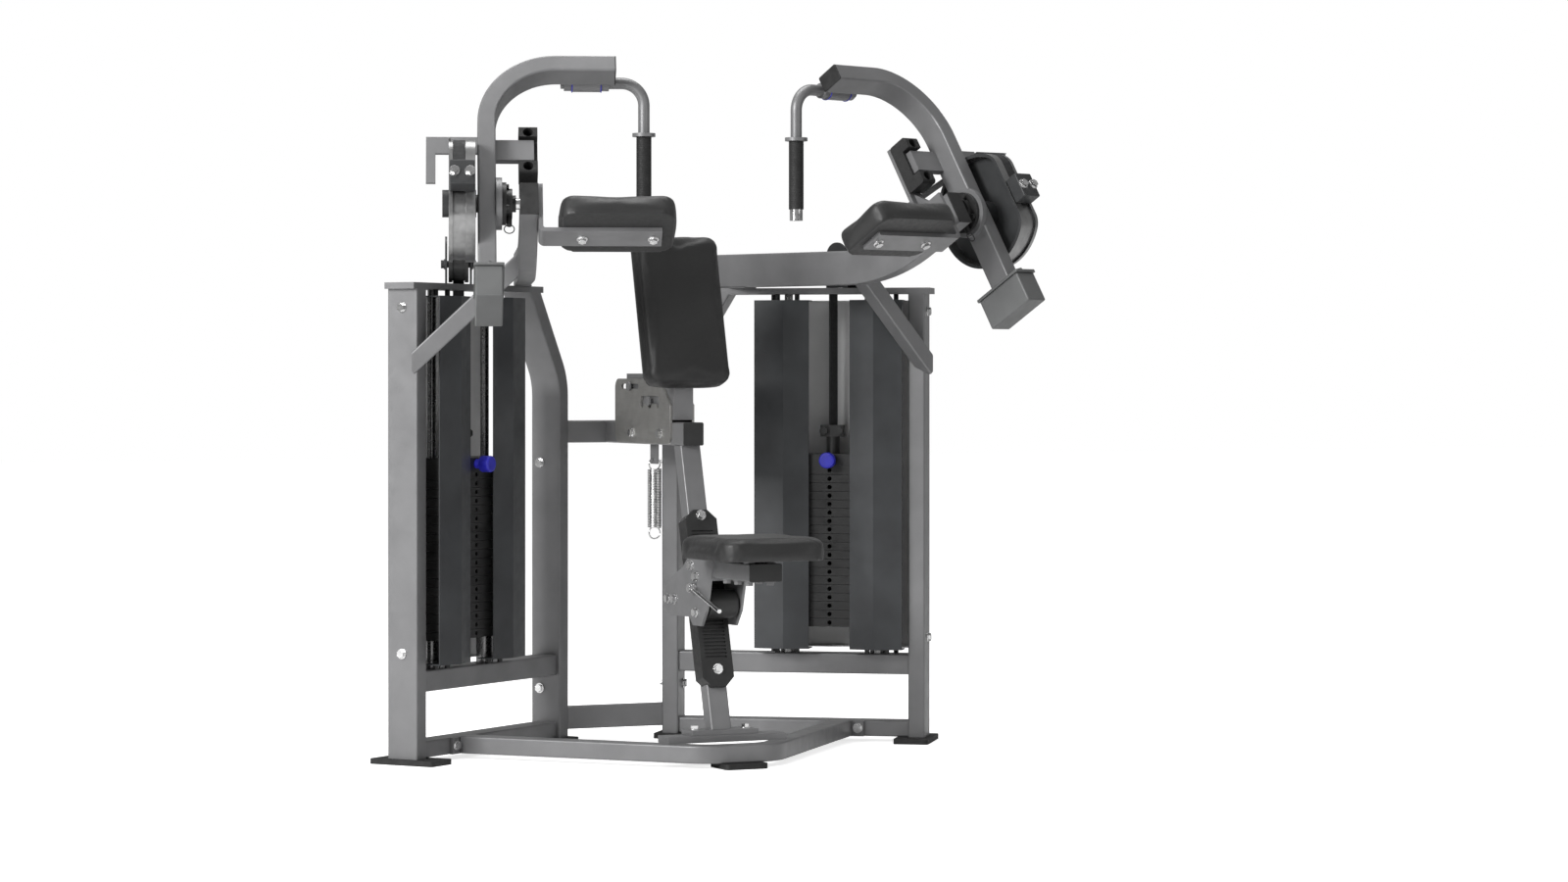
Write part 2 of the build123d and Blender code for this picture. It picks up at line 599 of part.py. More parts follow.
def pad_bracket():
    """Flat bar bent at a right angle, bolted to the swan-neck, carrying the upper-arm pad."""
    low = -BRACKET_DROP
    half = BRACKET_WIDTH / 2
    middle = PAD_CENTRE - ARM_PAD_SHIFT
    outer = HORN_INNER
    outline = [(BRACKET_INNER_END, low), (outer, low), (outer, BRACKET_LEG_TOP),
               (outer - BRACKET_THICK, BRACKET_LEG_TOP), (outer - BRACKET_THICK, low + BRACKET_THICK),
               (BRACKET_INNER_END, low + BRACKET_THICK)]
    bar = prism(outline, "X", middle - half, middle + half)
    bar = fillet(bar.edges().filter_by(Axis.X).sort_by_distance(Vector(middle, outer, low))[0], BRACKET_BEND)
    inside = Vector(middle, outer - BRACKET_THICK, low + BRACKET_THICK)
    bar = fillet(bar.edges().filter_by(Axis.X).sort_by_distance(inside)[0], BRACKET_BEND - BRACKET_THICK + 1)
    bar -= rod((0, outer - BRACKET_THICK - 1, 0), (0, outer + 1, 0), SHAFT_RADIUS)
    for y in BRACKET_BOLTS:
        bar += bolt((middle, y, low), (0, 0, -1))
    return put(ARM, bar)


def arm_pad():
    """Upper-arm cushion on top of its bracket."""
    depth, length, thick = ARM_PAD
    low = -BRACKET_DROP + BRACKET_THICK
    pad = span((PAD_CENTRE - depth / 2, PAD_CENTRE + depth / 2),
               (ARM_PAD_OUT - length / 2, ARM_PAD_OUT + length / 2), (low, low + thick), 30)
    pad = fillet(pad.faces().sort_by(Axis.Z)[-1].edges(), 16)
    return put(ARM, pad)


def pivot_shafts():
    """Fixed steel shafts on which the arms turn."""
    return both(put(ARM, rod((0, HORN_INNER - BRACKET_THICK, 0), (0, DRUM_OUT[1] + 2, 0), SHAFT_RADIUS)))


# ---------------------------------------------------------------- arms
def hub_bore(start, end):
    """Running bore for the pivot shaft."""
    return rod((0, start - 1, 0), (0, end + 1, 0), SHAFT_RADIUS + RUNNING_GAP)


def arm_tube():
    """Bent arm tube with its round hub plate, stop bar and handle sleeve."""
    bottom = WEIGHT_BLOCK_BOTTOM + WEIGHT_BLOCK[2] + WEIGHT_LID[2]
    path = [(0, ARM_OUT, bottom), (0, ARM_OUT, ARM_TOP), (0, ARM_INNER_END, ARM_TOP)]
    arm = bent_tube(path, ARM_BEND_RADIUS, (1, 0, 0), ARM_DEPTH, ARM_WIDTH)
    inner, outer = ARM_OUT - ARM_WIDTH / 2, ARM_OUT + ARM_WIDTH / 2
    arm += ring((0, inner - 1, 0), (0, outer + 3, 0), SHAFT_RADIUS + 7, SHAFT_RADIUS + RUNNING_GAP)
    arm += ring((0, HUB_PLATE_OUT[0], 0), (0, HUB_PLATE_OUT[1], 0), HUB_PLATE_RADIUS,
                SHAFT_RADIUS + RUNNING_GAP)
    arm -= hub_bore(HUB_PLATE_OUT[0], DRUM_OUT[0])
    level = (STOP_BAR_LEVEL - STOP_BAR_HEIGHT / 2, STOP_BAR_LEVEL + STOP_BAR_HEIGHT / 2)
    back = -ARM_DEPTH / 2
    arm += span((back, back + STOP_BAR_THICK), (STOP_BAR_INNER, inner), level)
    strap_depth = (back, back + STRAP_THICK)
    arm += span(strap_depth, (outer, STRAP_OUT), STRAP_LEVEL)
    arm += span(strap_depth, (STRAP_OUT - STRAP_LEG[0], STRAP_OUT), (STRAP_LEG[1], STRAP_LEVEL[1]))
    sleeve_x = back - SLEEVE_RADIUS
    arm += rod((sleeve_x, SLEEVE_OUT[0], ARM_TOP), (sleeve_x, SLEEVE_OUT[1], ARM_TOP), SLEEVE_RADIUS)
    arm += span((sleeve_x, back + 1), (SLEEVE_OUT[0] + 4, SLEEVE_OUT[1] - 4), (ARM_TOP - 6, ARM_TOP + 6))
    arm -= rod((sleeve_x, 0, ARM_TOP), (sleeve_x, 200, ARM_TOP),
               HANDLE_RADIUS + RUNNING_GAP)
    return put(ARM, arm)


def counterweight():
    """Solid block with a bolted lid at the arm's lower end."""
    depth, width, height = WEIGHT_BLOCK
    low = WEIGHT_BLOCK_BOTTOM
    y = WEIGHT_BLOCK_OUT
    block = span((-depth / 2, depth / 2), (y - width / 2, y + width / 2), (low, low + height))
    block = fillet(block.edges(), 4)
    lid_x, lid_y, lid_z = WEIGHT_LID
    top = low + height
    block += span((-lid_x / 2, lid_x / 2), (y - lid_y / 2, y + lid_y / 2), (top, top + lid_z), 3)
    for x in (-0.5, 0.5):
        block += bolt((x * (lid_x - 36), y, top + lid_z), (0, 0, 1))
    return put(ARM, block)


def drum_outline(inset):
    """D-shaped outline of the belt drum: two equal arcs, one above the other, and a front flat."""
    radius = DRUM_RADIUS - inset
    flat = DRUM_FLAT - inset
    body = Circle(radius) + Pos(0, DRUM_RISE, 0) * Circle(radius)
    body += Pos(0, DRUM_RISE / 2, 0) * Rectangle(2 * radius, DRUM_RISE)
    body &= Pos(flat - 2 * radius, 0, 0) * Rectangle(4 * radius, 4 * radius)
    corners = [v for v in body.vertices() if abs(v.X - flat) < 0.01]
    return fillet(corners, DRUM_CORNER - inset)


def across(outer):
    """Sketch plane square to the pivot axis at outer: x ahead, y up the arm, extruding inward."""
    return Plane(origin=(0, outer, 0), x_dir=(1, 0, 0), z_dir=(0, -1, 0))


def belt_drum():
    """D-shaped drum: a rim with a belt groove, a web and a hub."""
    inner, outer = DRUM_OUT
    plane = across(outer)
    outline = drum_outline(0)
    hollow = drum_outline(DRUM_RIM)
    drum = extrude(plane * (outline - hollow), outer - inner)
    drum += extrude(across((inner + outer + DRUM_WEB) / 2) * hollow, DRUM_WEB)
    drum += rod((0, ARM_OUT + ARM_WIDTH / 2 + 3, 0), (0, outer + 14, 0), DRUM_HUB_RADIUS)
    half = BELT_WIDTH / 2 + 1
    drum -= extrude(across(BELT_OUT + half) * (outline - drum_outline(BELT_GROOVE)), 2 * half)
    ear = make_face(Polyline(*DRUM_EAR, close=True))
    drum += extrude(plane * (ear - drum_outline(DRUM_RIM / 2)), DRUM_EAR_THICK)
    return put(ARM, drum - hub_bore(inner - 4, outer + 2))


BELT_INSET = BELT_GROOVE - BELT_THICK        # the belt's outer face, below the drum's ridges
DRUM_RUN_RADIUS = DRUM_RADIUS - BELT_GROOVE + BELT_THICK / 2
PULLEY_RUN_RADIUS = PULLEY_RADIUS - PULLEY_GROOVE + BELT_THICK / 2
PULLEY_FORWARD = DROP_FORWARD + PULLEY_RUN_RADIUS


def belt_slope():
    """Slope, in degrees, of the straight belt run that touches the drum and the pulley from above."""
    drum_forward, drum_height = swing_point(0, DRUM_RISE)
    gap = Vector(drum_forward - PULLEY_FORWARD, drum_height - PULLEY_HEIGHT, 0)
    lift = (DRUM_RUN_RADIUS - PULLEY_RUN_RADIUS) / gap.length
    return degrees(atan2(gap.Y, gap.X) + asin(lift))


def belt_wrap():
    """Belt lying in the drum's groove, from where it leaves the drum to the clamp block."""
    leave = 90 + belt_slope() - ARM_LEAN
    far = 2 * DRUM_RADIUS
    x, z = cos(radians(leave)), sin(radians(leave))
    wedge = make_face(Polyline((0, DRUM_RISE), (0, 0), (far, 0), (far, far),
                               (far * x, DRUM_RISE + far * z), close=True))
    band = (drum_outline(BELT_INSET) - drum_outline(BELT_GROOVE)) & wedge
    return put(ARM, extrude(across(BELT_OUT + BELT_WIDTH / 2) * band, BELT_WIDTH))


def belt_run():
    """Straight belt run from the drum to the redirect pulley and round it."""
    slope = radians(belt_slope())
    away = Vector(-sin(slope), 0, cos(slope))
    along = Vector(cos(slope), 0, sin(slope))
    pulley = Vector(PULLEY_FORWARD, BELT_OUT, PULLEY_HEIGHT)
    drum_forward, drum_height = swing_point(0, DRUM_RISE)
    start = Vector(drum_forward, BELT_OUT, drum_height) + away * DRUM_RUN_RADIUS - along * SOFT_GAP
    touch = pulley + away * PULLEY_RUN_RADIUS
    turn = (slope + radians(90) + radians(180)) / 2
    middle = pulley + Vector(cos(turn), 0, sin(turn)) * PULLEY_RUN_RADIUS
    end = pulley - Vector(PULLEY_RUN_RADIUS, 0, 0)
    path = Line(start, touch) + ThreePointArc(touch, middle, end)
    plane = Plane(origin=start, x_dir=(0, 1, 0), z_dir=touch - start)
    return put(SWING, sweep(plane * Rectangle(BELT_WIDTH, BELT_THICK), path=path))


def belt_drop():
    """Belt dropping from the pulley to the clamp on the head plate."""
    low = STEM_TOP + BELT_CLAMP[2]
    half = BELT_THICK / 2
    return put(SWING, span((DROP_FORWARD - half, DROP_FORWARD + half),
                           (BELT_OUT - BELT_WIDTH / 2, BELT_OUT + BELT_WIDTH / 2), (low, PULLEY_HEIGHT)))


def clamp_block():
    """Block bolted to the drum's front flat, holding the belt's end."""
    depth, width, height = CLAMP_BLOCK
    y = (DRUM_OUT[0] + DRUM_OUT[1]) / 2
    block = span((DRUM_FLAT, DRUM_FLAT + depth), (y - width / 2, y + width / 2),
                 (CLAMP_BLOCK_LEVEL - height / 2, CLAMP_BLOCK_LEVEL + height / 2))
    block = fillet(block.edges(), 3)
    for side in (-0.5, 0.5):
        block += bolt((DRUM_FLAT + depth, y + side * (width - 20), CLAMP_BLOCK_LEVEL), (1, 0, 0))
    return put(ARM, block)


def arm_bearing():
    """Flange bearing on the hub plate, with its grease point and wire ring underneath."""
    body = ring((0, BEARING_OUT[0], 0), (0, BEARING_OUT[1], 0), BEARING_RADIUS - 14,
                SHAFT_RADIUS + RUNNING_GAP)
    flange = ring((0, BEARING_OUT[1] - 9, 0), (0, BEARING_OUT[1] + 0.3, 0), BEARING_RADIUS,
                  SHAFT_RADIUS + RUNNING_GAP)
    collar = ring((0, BEARING_OUT[0] - 8, 0), (0, BEARING_OUT[0] + 1, 0), SHAFT_RADIUS + 6,
                  SHAFT_RADIUS + RUNNING_GAP)
    y = BEARING_OUT[0] + 7
    barrel = rod((0, y, -BEARING_RADIUS + 18), (0, y, -BEARING_RADIUS - 10), 6)
    wire = Location((0, y, -BEARING_RADIUS - 19), (0, 90, 0)) * Torus(11, 1.2)
    bearing = body + flange + collar + barrel + wire
    for corner in range(4):
        angle = radians(45 + 90 * corner)
        reach = BEARING_RADIUS - 9
        bearing += rod((reach * cos(angle), BEARING_OUT[1] - 9, reach * sin(angle)),
                       (reach * cos(angle), BEARING_OUT[1] - 15, reach * sin(angle)), 6)
    return put(ARM, bearing - hub_bore(BEARING_OUT[0] - 8, BEARING_OUT[1] + 1))


# ---------------------------------------------------------------- redirect pulleys
def pulley():
    """Redirect pulley with a shallow belt groove, running on its axle."""
    half = PULLEY_WIDTH / 2
    centre = (PULLEY_FORWARD, PULLEY_HEIGHT)
    ends = [(centre[0], BELT_OUT + side * half, centre[1]) for side in (-1, 1)]
    wheel = rod(*ends, PULLEY_RADIUS)
    band = [(centre[0], BELT_OUT + side * (BELT_WIDTH / 2 + 1), centre[1]) for side in (-1, 1)]
    wheel -= ring(*band, PULLEY_RADIUS + 5, PULLEY_RADIUS - PULLEY_GROOVE)
    wheel -= rod(*ends, AXLE_RADIUS + RUNNING_GAP)
    return put(SWING, wheel)


def pulley_brackets():
    """Two upright side plates for each redirect pulley, with its axle bolt between them."""
    half = PULLEY_WIDTH / 2 + PULLEY_PLATE_GAP
    wide = PULLEY_RADIUS - 8
    top = PULLEY_HEIGHT + PULLEY_PLATE_TOP
    solids = []
    for side in (-1, 1):
        near = BELT_OUT + side * half
        far = near + side * PULLEY_PLATE_THICK
        low, high = min(near, far), max(near, far)
        plate = span((PULLEY_FORWARD - wide, PULLEY_FORWARD + wide), (low, high), (PLATE_TOP, top - wide))
        plate += rod((PULLEY_FORWARD, low, top - wide), (PULLEY_FORWARD, high, top - wide), wide)
        plate -= rod((PULLEY_FORWARD, low - 1, PULLEY_HEIGHT), (PULLEY_FORWARD, high + 1, PULLEY_HEIGHT),
                     AXLE_RADIUS)
        solids.append(plate)
    reach = half + PULLEY_PLATE_THICK
    ends = [(PULLEY_FORWARD, BELT_OUT + side * reach, PULLEY_HEIGHT) for side in (-1, 1)]
    axle = rod(*ends, AXLE_RADIUS)
    for side, end in zip((-1, 1), ends):
        axle += bolt(end, (0, side, 0))
    return both(group(put(SWING, solids[0]), put(SWING, solids[1]), put(SWING, axle)))


# ---------------------------------------------------------------- handles
SLEEVE_FORWARD, SLEEVE_HEIGHT = swing_point(-ARM_DEPTH / 2 - SLEEVE_RADIUS, ARM_TOP)


def handle():
    """Round tube that turns in the arm's sleeve and hangs down to the grip, with its collars."""
    f, z = SLEEVE_FORWARD, SLEEVE_HEIGHT
    outer = SLEEVE_OUT[1] + SLEEVE_COLLAR + 8
    path = FilletPolyline((f, outer, z), (f, HANDLE_OUT, z), (f, HANDLE_OUT, HANDLE_TIP + 6),
                          radius=HANDLE_BEND)
    plane = Plane(origin=path @ 0, z_dir=path % 0)
    shape = sweep(plane * Circle(HANDLE_RADIUS), path=path)
    shape -= sweep(plane * Circle(HANDLE_RADIUS - TUBE_WALL), path=path)
    for start in (SLEEVE_OUT[0] - SOFT_GAP - SLEEVE_COLLAR, SLEEVE_OUT[1] + SOFT_GAP):
        shape += ring((f, start, z), (f, start + SLEEVE_COLLAR, z), SLEEVE_COLLAR_RADIUS,
                      HANDLE_RADIUS - 1)
    shape += ring((f, HANDLE_OUT, GRIP_TOP), (f, HANDLE_OUT, GRIP_TOP + 8), GRIP_FLANGE_RADIUS,
                  HANDLE_RADIUS - 1)
    tip = rod((f, HANDLE_OUT, HANDLE_TIP), (f, HANDLE_OUT, GRIP_BOTTOM), HANDLE_RADIUS + 2)
    return put(SWING, shape + tip)


def grip():
    """Rubber sleeve on the handle."""
    f = SLEEVE_FORWARD
    return put(SWING, ring((f, HANDLE_OUT, GRIP_BOTTOM), (f, HANDLE_OUT, GRIP_TOP), GRIP_RADIUS,
                           HANDLE_RADIUS))


# ---------------------------------------------------------------- base, links and feet
def post_fill():
    """Outer volume of both inner posts, to trim the links that butt against them."""
    return both(put(TOWER, inner_post(0)))


def link(bottom):
    """Cross link between the inner posts."""
    level = bottom + LINK_HEIGHT / 2
    bar = tube((-INNER_POST_X, 0, level), (INNER_POST_X, 0, level), (0, 1, 0), LINK_DEPTH, LINK_HEIGHT)
    trimmed = bar - post_fill()
    return max(trimmed.solids(), key=lambda one: one.volume)


SPRING_HOOK = UPPER_LINK_BOTTOM - SPRING_TAB_DROP + 12


def rear_links():
    """Upper and lower links between the inner posts; the upper one carries the centre tube."""
    level = UPPER_LINK_BOTTOM + LINK_HEIGHT / 2
    centre = tube((0, -LINK_DEPTH / 2, level), (0, -CENTRE_TUBE_FRONT, level), (1, 0, 0),
                  CENTRE_TUBE_WIDTH, LINK_HEIGHT)
    tab = span((-SPRING_TAB / 2, SPRING_TAB / 2), (SPRING_Y - 19, SPRING_Y + 19),
               (UPPER_LINK_BOTTOM - SPRING_TAB_DROP, UPPER_LINK_BOTTOM))
    tab -= rod((-20, SPRING_Y, SPRING_HOOK), (20, SPRING_Y, SPRING_HOOK), SPRING_WIRE)
    upper = Solid(link(UPPER_LINK_BOTTOM).wrapped) + centre + tab
    return group(upper, link(LOWER_LINK_BOTTOM))


def base_frame():
    """V-shaped floor tube with a round nose, bolted to the towers, and the seat column's cross plate."""
    level = LEG_HEIGHT / 2
    joint = TOWER.from_local_coords(Vector(CROSS_WIDTH / 2 + LEG_FLANGE_THICK, LEG_JOINT_ALONG, level))
    nose = -(NOSE_FRONT - LEG_WIDTH / 2)
    path = [(joint.X, joint.Y, level), (NOSE_HALF, nose, level), (-NOSE_HALF, nose, level),
            (-joint.X, joint.Y, level)]
    start = (Vector(*path[1]) - Vector(*path[0])).normalized()
    side = Vector(-start.Y, start.X, 0)
    frame = bent_tube(path, [NOSE_RADIUS, NOSE_RADIUS], side, LEG_WIDTH, LEG_HEIGHT)
    room = put(TOWER, span((-300, CROSS_WIDTH / 2 + LEG_FLANGE_THICK), (-300, 900), (-10, 100)))
    frame -= Compound(children=solid_list(both(room)))
    flange = put(TOWER, span((CROSS_WIDTH / 2, CROSS_WIDTH / 2 + LEG_FLANGE_THICK),
                             (LEG_JOINT_ALONG - LEG_FLANGE_HALF, LEG_JOINT_ALONG + LEG_FLANGE_HALF),
                             (0, FLOOR_CROSS_HEIGHT)))
    frame += flange
    frame += mirror(flange, about=Plane.YZ)
    length, depth, thick = CROSS_BAR
    return frame + span((-length / 2, length / 2), (CROSS_BAR_Y - depth / 2, CROSS_BAR_Y + depth / 2),
                        (LEG_HEIGHT, LEG_HEIGHT + thick))


def column_point(height):
    """Point on the seat column's centre line at this height."""
    return Vector(0, COLUMN_FOOT_Y + height * tan(radians(COLUMN_LEAN)), height)


def seat_column():
    """Leaning seat column with its base plate, butting under the centre tube."""
    low = LEG_HEIGHT + CROSS_BAR[2]
    column = tube(column_point(low - 20), column_point(UPPER_LINK_BOTTOM + 30), (1, 0, 0),
                  COLUMN_WIDTH, COLUMN_DEPTH)
    wide, deep, thick = COLUMN_PLATE
    foot = column_point(low)
    column = column & span((-wide, wide), (-900, 100), (low + thick, UPPER_LINK_BOTTOM))
    middle = foot.Y - 8
    plate = span((-wide / 2, wide / 2), (middle - deep / 2, middle + deep / 2), (low, low + thick))
    column += plate
    for x in (-0.5, 0.5):
        column += bolt((x * (wide - 38), middle, low + thick), (0, 0, 1))
    return column


def rubber_feet():
    """Rubber pads under the posts and the nose."""
    pads = []
    for s, n, length, depth in FEET:
        pad = span((n - depth / 2, n + depth / 2), (s - length / 2, s + length / 2), (-FOOT_THICK, 0), 8)
        pads.append(put(TOWER, pad))
    half, ahead, behind = NOSE_FOOT
    nose = span((-half, half), (-NOSE_FRONT - ahead, -NOSE_FRONT + behind), (-FOOT_THICK, 0), 10)
    return Compound(children=solid_list(both(group(*pads))) + solid_list(nose))


def tube_caps():
    """Plastic caps in the open ends of the swan-necks, arms, centre tube and seat beam."""
    thick = 3.0
    horn = span((HORN_END, HORN_END + thick), (HORN_INNER, HORN_OUTER),
                (LEAN_DROP - HORN_HEIGHT / 2, LEAN_DROP + HORN_HEIGHT / 2))
    level = UPPER_LINK_BOTTOM + LINK_HEIGHT / 2
    front = tube((0, -CENTRE_TUBE_FRONT, level), (0, -CENTRE_TUBE_FRONT - thick, level), (1, 0, 0),
                 CENTRE_TUBE_WIDTH, LINK_HEIGHT, 0)
    return Compound(children=solid_list(both(put(ARM, horn))) + solid_list(front))


def frame_bolts():
    """Hexagon bolts with washers on the posts' outer faces and the leg flanges."""
    solids = []
    for height in OUTER_POST_BOLTS:
        solids.append(put(TOWER, bolt((0, OUTER_FACE, height), (0, 1, 0))))
    for height in INNER_POST_BOLTS:
        for side in (-1, 1):
            face = side * POST_WIDTH / 2
            solids.append(put(TOWER, bolt((INNER_BOLT_AHEAD, face, height), (0, side, 0))))
        end = -POST_WIDTH / 2 - INNER_BOLT_TIP
        tip = rod((INNER_BOLT_AHEAD, -POST_WIDTH / 2, height), (INNER_BOLT_AHEAD, end, height), BOLT_SHANK)
        solids[-2] += put(TOWER, tip)
    for s in (LEG_JOINT_ALONG - LEG_BOLT_SPREAD / 2, LEG_JOINT_ALONG + LEG_BOLT_SPREAD / 2):
        solids.append(put(TOWER, bolt((CROSS_WIDTH / 2 + LEG_FLANGE_THICK, s, LEG_HEIGHT / 2), (1, 0, 0))))
    return both(group(*solids))


# ---------------------------------------------------------------- seat
RACK_FACE = -COLUMN_DEPTH / 2 - RACK_THICK


def seat_rack():
    """Plastic rack wrapped round the column's front, grooved across, with chamfered ends and screws."""
    low, high = column_up_at(RACK_RANGE[0]), column_up_at(RACK_RANGE[1])
    half = RACK_WIDTH / 2
    cut = RACK_CHAMFER
    outline = [(-half, low + cut), (-half + cut, low), (half - cut, low), (half, low + cut),
               (half, high - cut), (half - cut, high), (-half + cut, high), (-half, high - cut)]
    rack = prism(outline, "Y", RACK_FACE, RACK_FACE + RACK_THICK + RACK_SIDE)
    hug = COLUMN_WIDTH / 2 + FIT_GAP
    rack -= span((-hug, hug), (RACK_FACE + RACK_THICK, COLUMN_DEPTH), (low - 1, high + 1))
    inner = half - RACK_MARGIN
    screws = (low + RACK_SCREWS[0], high - RACK_SCREWS[1])
    start = screws[0] + RACK_PLAIN
    count = int((screws[1] - RACK_PLAIN - start) / RACK_PITCH)
    for index in range(count):
        z = start + index * RACK_PITCH
        rack -= span((-inner, inner), (RACK_FACE - 1, RACK_FACE + RACK_GROOVE), (z, z + RACK_PITCH / 2))
    for z in screws:
        rack += bolt((0, RACK_FACE, z), (0, -1, 0))
    return put(COLUMN, rack)


CARRIAGE_INNER = RACK_WIDTH / 2 + CARRIAGE_GAP
CARRIAGE_OUTER = CARRIAGE_INNER + CARRIAGE_PLATE


def seat_carriage():
    """Two side plates, joined by cross bolts, with the beam that carries the seat."""
    carriage = prism(CARRIAGE_OUTLINE, "X", CARRIAGE_INNER, CARRIAGE_OUTER)
    carriage += prism(CARRIAGE_OUTLINE, "X", -CARRIAGE_OUTER, -CARRIAGE_INNER)
    level = SEAT_BEAM_TOP - SEAT_BEAM / 2
    carriage += tube((0, SEAT_BEAM_REAR - 25, level), (0, SEAT_BEAM_FRONT, level), (1, 0, 0),
                     2 * CARRIAGE_INNER, SEAT_BEAM)
    carriage += span((-CARRIAGE_INNER, CARRIAGE_INNER), (-698, SEAT_BEAM_REAR - 25 - 6),
                     (SEAT_BEAM_TOP - SEAT_BEAM - 6, SEAT_BEAM_TOP - SEAT_BEAM))
    for side in (-1, 1):
        for y, z in CARRIAGE_BOLTS:
            carriage += bolt((side * CARRIAGE_OUTER, y, z), (side, 0, 0))
    for y, z in CARRIAGE_BOLTS[3:]:
        carriage += rod((-CARRIAGE_INNER, y, z), (CARRIAGE_INNER, y, z), CROSS_BOLT_RADIUS)
    radius, spacer = SEAT_SPACER
    for y in SEAT_BOLTS:
        for x in (-SEAT_BOLT_OUT, SEAT_BOLT_OUT):
            carriage += bolt((x, y, SEAT_BEAM_TOP - SEAT_BEAM), (0, 0, -1))
            carriage += rod((x, y, SEAT_BEAM_TOP), (x, y, SEAT_BEAM_TOP + spacer), radius)
    pin_x = -CARRIAGE_OUTER
    carriage += rod((pin_x, *LEVER_PIVOT), (pin_x - 16, *LEVER_PIVOT), 6)
    return carriage + rod((pin_x - 15.5, *LEVER_PIVOT), (pin_x - 19, *LEVER_PIVOT), 9)


def roller_point(height, offset):
    """Machine-frame y and z of a roller beside the column at this height."""
    centre = column_point(height)
    return (centre.Y + offset * cos(radians(COLUMN_LEAN)), height - offset * sin(radians(COLUMN_LEAN)))


def seat_rollers():
    """Plastic rollers of the carriage: one behind the column and one in front of its rack."""
    solids = []
    rear = COLUMN_DEPTH / 2 + ROLLER_RADIUS + SOFT_GAP
    front = RACK_FACE - ROLLER_RADIUS - SOFT_GAP - 1
    for height, offset in ((362.0, rear), (418.0, front)):
        y, z = roller_point(height, offset)
        solids.append(rod((-CARRIAGE_INNER, y, z), (CARRIAGE_INNER, y, z), ROLLER_RADIUS))
    return group(*solids)


def seat_latch():
    """Rounded plastic housing of the height latch, between the side plates."""
    inner = CARRIAGE_INNER - LATCH_SIDE
    body = rod((-inner, *LATCH_CENTRE), (inner, *LATCH_CENTRE), LATCH_RADIUS)
    body = fillet(body.edges().filter_by(GeomType.CIRCLE), LATCH_SIDE)
    boss = rod((-CARRIAGE_INNER, *LATCH_CENTRE), (CARRIAGE_INNER, *LATCH_CENTRE), LATCH_RADIUS / 2)
    return body + boss


def seat_lever():
    """Release lever beside the right side plate, turning on a short pin."""
    x = -CARRIAGE_OUTER - 1.0
    start = (x - 8, *LEVER_PIVOT)
    lever = rod(start, (x - 8, *LEVER_TIP), LEVER_RADIUS)
    lever += ring((x, *LEVER_PIVOT), (x - 14, *LEVER_PIVOT), 11, 6 + RUNNING_GAP)
    return lever - rod((x + 1, *LEVER_PIVOT), (x - 15, *LEVER_PIVOT), 6 + RUNNING_GAP)


def seat_pad():
    """Seat cushion."""
    width, length, thick = SEAT_PAD
    pad = span((-width / 2, width / 2), (SEAT_PAD_REAR - length, SEAT_PAD_REAR),
               (SEAT_BEAM_TOP + SEAT_SPACER[1], SEAT_BEAM_TOP + SEAT_SPACER[1] + thick), 48)
    return fillet(pad.faces().sort_by(Axis.Z)[-1].edges(), 18)


def seat_spring():
    """Envelope of the coil spring that hangs from the centre tube's tab, with its hooks."""
    low, high = SPRING_COIL
    wire = SPRING_WIRE / 2
    spring = rod((0, SPRING_Y, low), (0, SPRING_Y, high), SPRING_RADIUS)
    hook_radius = (SPRING_HOOK + wire - high + 2) / 2
    for height in (high - 2 + hook_radius, low + 2 - hook_radius):
        spring += Pos(0, SPRING_Y, height) * (Rot(90, 0, 0) * Torus(hook_radius, wire))
    return spring


# ---------------------------------------------------------------- back pad
BACK = Plane(origin=(0, BACK_PAD_FRONT, BACK_PAD_BOTTOM), x_dir=(1, 0, 0),
             z_dir=(0, sin(radians(BACK_PAD_LEAN)), cos(radians(BACK_PAD_LEAN))))


def back_pad():
    """Back cushion."""
    width, thick, tall = BACK_PAD
    pad = span((-width / 2, width / 2), (0, thick), (0, tall))
    pad = fillet(pad.edges().filter_by(Axis.Y), 30)
    pad = fillet(pad.faces().sort_by(Axis.Y)[0].edges(), 16)
    return put(BACK, pad)


def back_carriage():
    """Stem and back plate of the cushion, with two cross pins that run in the adjuster's slots."""
    outline = [(y, UPPER_LINK_BOTTOM + rise) for y, rise in BACK_STEM_SHAPE]
    outline += [(BACK_STEM_FRONT, outline[-1][1]), (BACK_STEM_FRONT, outline[0][1])]
    half = CENTRE_TUBE_WIDTH / 2 - 0.5
    wide_room = BACK_PAD[0]
    stem = prism(outline, "X", -half, half)
    stem -= put(BACK, span((-wide_room, wide_room), (-wide_room, BACK_PAD[1]), (-wide_room, BACK_PAD[2])))
    wide, thick, (plate_low, plate_high) = BACK_PLATE
    stem += put(BACK, span((-wide / 2, wide / 2), (BACK_PAD[1], BACK_PAD[1] + thick),
                           (plate_low, plate_high)))
    reach = CENTRE_TUBE_WIDTH / 2 + ADJUSTER[2] + 6
    for y, z in BACK_PINS:
        stem += rod((-reach, y, z), (reach, y, z), BACK_PIN_RADIUS)
        for side in (-1, 1):
            stem += rod((side * (reach - 5.2), y, z), (side * reach, y, z), 11)
    return stem


